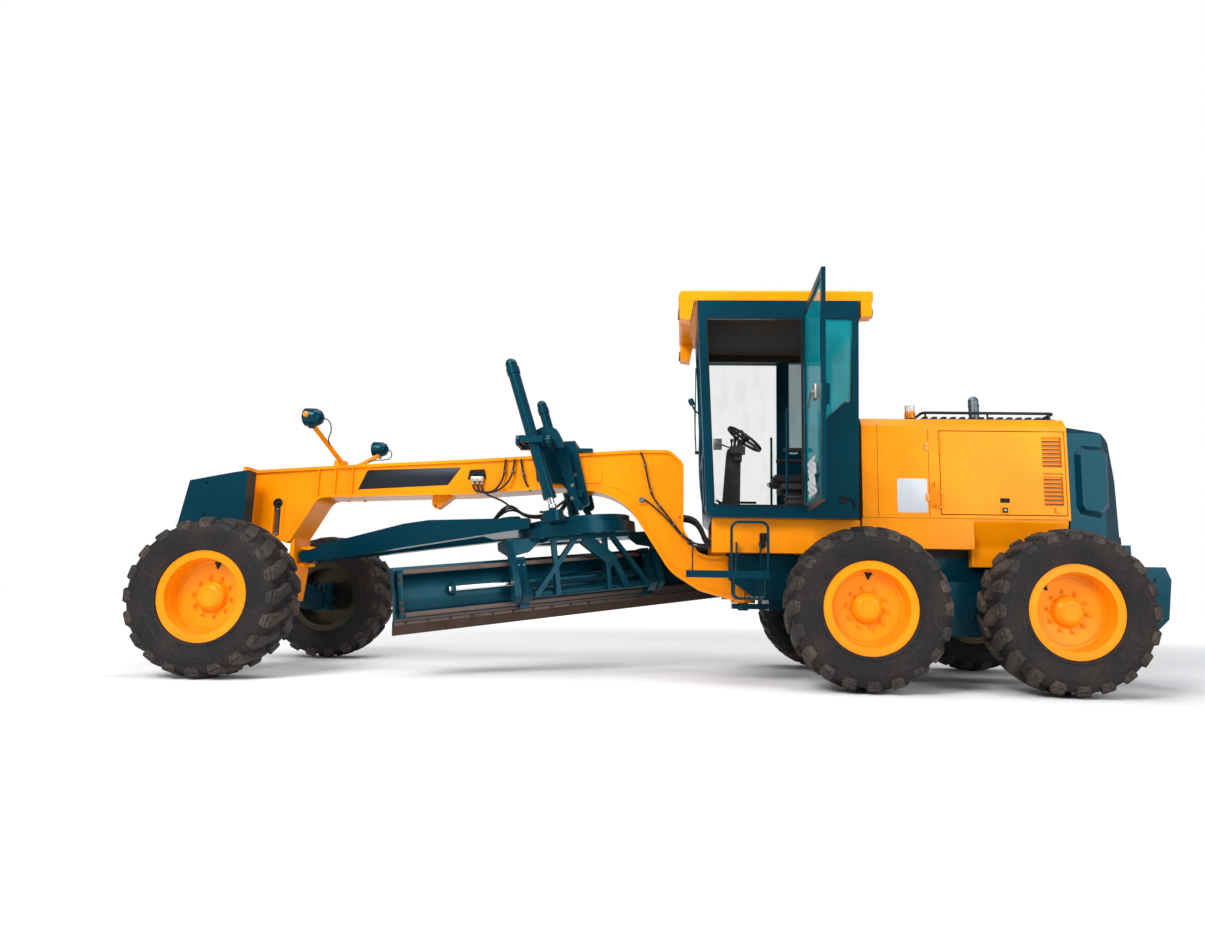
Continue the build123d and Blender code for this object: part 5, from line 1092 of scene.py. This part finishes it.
def swollen(work, cap, voxel=0.009):
    """No point moves further than the cap."""
    mesh = bpy.data.meshes.new("pad")
    work.to_mesh(mesh)
    work.free()
    pad = bpy.data.objects.new("pad", mesh)
    scene.collection.objects.link(pad)
    remesh = pad.modifiers.new("remesh", "REMESH")
    remesh.mode, remesh.voxel_size = "VOXEL", voxel
    graph = bpy.context.evaluated_depsgraph_get()
    before = bpy.data.meshes.new_from_object(pad.evaluated_get(graph))
    pad.modifiers.clear()
    pad.data = before
    result = bmesh.new()
    cloth = pad.modifiers.new("cloth", "CLOTH")
    cloth.settings.quality = 4
    cloth.settings.use_pressure, cloth.settings.uniform_pressure_force = True, PAD_PRESSURE
    cloth.settings.effector_weights.gravity = 0
    for moment in range(1, CLOTH_FRAMES + 1):
        scene.frame_set(moment)
    graph = bpy.context.evaluated_depsgraph_get()
    after = bpy.data.meshes.new_from_object(pad.evaluated_get(graph))
    scene.frame_set(1)
    for old, new in zip(before.vertices, after.vertices):
        move = new.co - old.co
        if move.length > cap:
            new.co = old.co + move.normalized() * cap
    result.from_mesh(after)
    bpy.data.objects.remove(pad)
    bmesh.ops.smooth_vert(result, verts=result.verts, factor=0.5, use_axis_x=True, use_axis_y=True, use_axis_z=True)
    return result


def pad_piece(name, work):
    """A padded piece in seat cloth."""
    made = finish_mesh(name, work, "seat_fabric", "rear_unit", smooth=60)
    return made


# %% Seat cushion, back and arm pads
CUSHION = [(0.150, 1.795), (0.610, 1.795), (0.655, 1.835), (0.620, 1.862), (0.400, 1.856), (0.175, 1.858)]
BACK = [(0.050, 1.880), (0.160, 1.880), (0.150, 2.020), (0.118, 2.200), (0.085, 2.460), (0.045, 2.480),
        (0.020, 2.440), (0.045, 2.100)]
PAD_CAP = 0.010  # how far a point of a pad may move as it swells
seat_parts = []
for name, outline, half in (("seat_cushion", CUSHION, 0.235), ("seat_back", BACK, 0.225)):
    work = bmesh.new()
    add_plate(work, outline, 2 * half, side_matrix(-half), 0.024, 3)
    seat_parts.append(pad_piece(name, swollen(work, PAD_CAP)))
for name, sign in SIDES:
    work = bmesh.new()
    add_box(work, (0.140, sign * 0.2875 - 0.028, 2.066), (0.550, sign * 0.2875 + 0.028, 2.106), 0.016, segments=3)
    seat_parts.append(pad_piece(f"arm_pad_{name}", work))
work = bmesh.new()
for s in (0.238, -0.238):
    add_tube(work, [(0.16, s, 1.800), (0.40, s, 1.797), (0.61, s, 1.800), (0.652, s, 1.836), (0.62, s, 1.864),
                    (0.40, s, 1.862), (0.18, s, 1.864), (0.155, s, 1.83), (0.16, s, 1.80)], 0.004)
for s in (0.228, -0.228):
    add_tube(work, [(0.052, s, 1.885), (0.158, s, 1.885), (0.148, s, 2.05), (0.118, s, 2.20), (0.086, s, 2.46),
                    (0.045, s, 2.478), (0.022, s, 2.44), (0.046, s, 2.10), (0.052, s, 1.885)], 0.004)
finish_mesh("seat_piping", work, "seal_rubber", "rear_unit")
work = bmesh.new()
for k in range(8):
    z = 1.520 + k * 0.026
    grow = 0.010 if k % 2 else 0.0
    add_box(work, (0.215 - grow, -0.135 - grow, z), (0.485 + grow, 0.135 + grow, z + 0.027), 0.006)
add_box(work, (0.180, -0.170, 1.475), (0.520, 0.170, 1.522), 0.010)
add_box(work, (0.160, -0.200, 1.728), (0.560, 0.200, 1.790), 0.012)
for sign in (1, -1):
    add_box(work, (0.060, sign * 0.262 - 0.012, 1.860), (0.100, sign * 0.262 + 0.012, 2.100), 0.006)
    add_box(work, (0.070, sign * 0.270 - 0.018, 2.058), (0.200, sign * 0.270 + 0.018, 2.080), 0.006)
base = finish_mesh("seat_base", work, "console_plastic", "rear_unit")
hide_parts("operator_seat")
print("seat:", len(seat_parts), "pads on a bellows base")

# %% Levers, steering wheel rim, pedals and floor mat
work = bmesh.new()
for y in (-0.200, 0.200):
    for dx in (-0.035, 0, 0.035):
        add_lathe(work, [(0, -0.018), (0.010, -0.016), (0.016, 0.0), (0.014, 0.016), (0, 0.022)],
                  frame_at((0.965 + dx, y, 2.272), (0, 0, 1)), 20)
column = Matrix.Translation((0.950, 0, 2.160)) @ Matrix.Rotation(-math.radians(35), 4, "Y")
RIM_R, RIM_RISE, GRIP_R = 0.1815, 0.106, 0.0135  # steering wheel: radius, height on its column, grip
add_lathe(work, [(GRIP_R * math.cos(a) + RIM_R, RIM_RISE + GRIP_R * math.sin(a))
                 for a in (math.tau * k / 12 for k in range(12))], column, 64, closed=True)
add_lathe(work, [(0, 0.150), (0.030, 0.148), (0.042, 0.130), (0.044, 0.100)], column, 28)
PEDAL_TILT = 0.5
for y in (0.14, -0.14):
    add_box(work, (-0.045, -0.035, 0), (0.045, 0.035, 0.014), 0.004,
            Matrix.Translation((1.130, y, 1.600)) @ Matrix.Rotation(-PEDAL_TILT, 4, "Y"))
    add_rod(work, (1.150, y, 1.500), (1.135, y, 1.600), 0.010, 14)
add_box(work, (0.02, -0.600, 1.4925), (1.180, 0.600, 1.500), 0.003)
finish_mesh("driver_controls", work, "console_plastic", "rear_unit")
print("controls")

# %% [markdown]
# ## Steps
#
# The platform has a grating: crossing bars with open squares, so mud falls through.

# %% Gratings and treads
work = bmesh.new()
for k in range(15):
    x = 0.775 + k * 0.046
    add_box(work, (x - 0.003, 0.606, 0.9255), (x + 0.003, 0.884, 0.936), 0.001)
for k in range(7):
    y = 0.630 + k * 0.040
    add_box(work, (0.752, y - 0.003, 0.9255), (1.438, y + 0.003, 0.934), 0.001)
for k in range(6):
    x = 0.812 + k * 0.041
    add_box(work, (x - 0.004, 0.712, 0.7205), (x + 0.004, 0.888, 0.731), 0.001)
for z in (0.720, 0.950, 1.180):
    for k in range(7):
        x = 0.785 + k * 0.044
        add_box(work, (x - 0.004, -0.646, z + 0.0005), (x + 0.004, -0.574, z + 0.008), 0.001)
finish_mesh("step_gratings", work, "bright_wear", "rear_unit")
work = bmesh.new()
add_box(work, (0.735, 0.560, 1.205), (0.800, 0.578, 1.285), 0.006)
add_lathe(work, [(0.024, 0), (0.024, 0.012), (0.018, 0.020), (0, 0.022)],
          frame_at((0.770, 0.578, 1.262), (0, 1, 0)), 24)
add_lathe(work, [(0, -0.004), (0.032, 0.0), (0.034, 0.010), (0.020, 0.018), (0, 0.018)],
          frame_at((0.775, 0.560, 1.185), (0, 1, 0)), 28)
finish_mesh("box_socket", work, "seal_rubber", "rear_unit")
print("gratings and socket")

# %% [markdown]
# ## CAD nodes: rounded edges
#
# The nodes keep their shapes. Small bevels catch the light along their edges, as rolled and welded plate does.

# %% Bevels on the nodes
# Bevel width in metres for each node that has something other than the usual one. The swept exhaust pipe has
# none, because a bevel never finishes on it.
USUAL_BEVEL = 0.003
BEVELS = {
    "main_beam": 0.005, "front_counterweight": 0.014, "rear_bumper": 0.012, "cab_shell": 0.006, "cab_roof": 0.010,
    "hood": 0.008, "rear_cowl": 0.012, "side_boxes": 0.008, "lift_saddle": 0.007, "drawbar": 0.006,
    "circle": 0.004, "tandem_left": 0.010, "tandem_right": 0.010, "access_steps": 0.002, "intake_grille": 0.002,
    "cab_glass": 0.0, "door_glass_left": 0.0, "door_glass_right": 0.0, "exhaust_stack": 0.0,
}
for node, item in NODES.items():
    if item.data.attributes.get("custom_normal"):
        item.data.attributes.remove(item.data.attributes["custom_normal"])
    item.data.shade_smooth()
    weld = item.modifiers.new("weld", "WELD")
    weld.merge_threshold = 0.00002
    width = BEVELS.get(node, USUAL_BEVEL)
    if width:
        bevel = item.modifiers.new("bevel", "BEVEL")
        bevel.width, bevel.segments, bevel.limit_method = width, 2, "ANGLE"
        bevel.angle_limit, bevel.use_clamp_overlap = math.radians(32), True
    normals = item.modifiers.new("normals", "WEIGHTED_NORMAL")
    normals.weight, normals.keep_sharp = 100, False
print("bevels on", sum(1 for n in NODES if BEVELS.get(n, USUAL_BEVEL)), "nodes")

# %% [markdown]
# ## Floor, sizes and finish
#
# The floor is pale and takes the shadow. Far from the machine it gives off a grey of its own, to all rays, which
# hides the line where it meets the white background.

# %% Floor and last line
FLOOR_HALF, FADE = 60, (5.0, 16.0)  # half the floor's side, and where its own light begins and is full
work = bmesh.new()
bmesh.ops.create_grid(work, x_segments=4, y_segments=4, size=FLOOR_HALF)
floor_mesh = bpy.data.meshes.new("floor")
work.to_mesh(floor_mesh)
work.free()
floor_mesh.transform(Matrix.Translation((0, 0, -0.0005)))
floor_finish = Finish("floor_pale", Roughness=0.9, Emission_Strength=1.0)
reach = floor_finish.place.node("ShaderNodeVectorMath", "Value", {0: floor_finish.place}, operation="LENGTH")
far = reach.over(*FADE)
floor_mesh.materials.append(floor_finish.feed(
    Base_Color=floor_finish.place.noise(0.6, 2).pick((0.86, 0.86, 0.86), (0.90, 0.90, 0.90)),
    Emission_Color=far.pick((0.0, 0.0, 0.0), (0.75, 0.75, 0.75))))
floor = bpy.data.objects.new("floor", floor_mesh)
scene.collection.objects.link(floor)
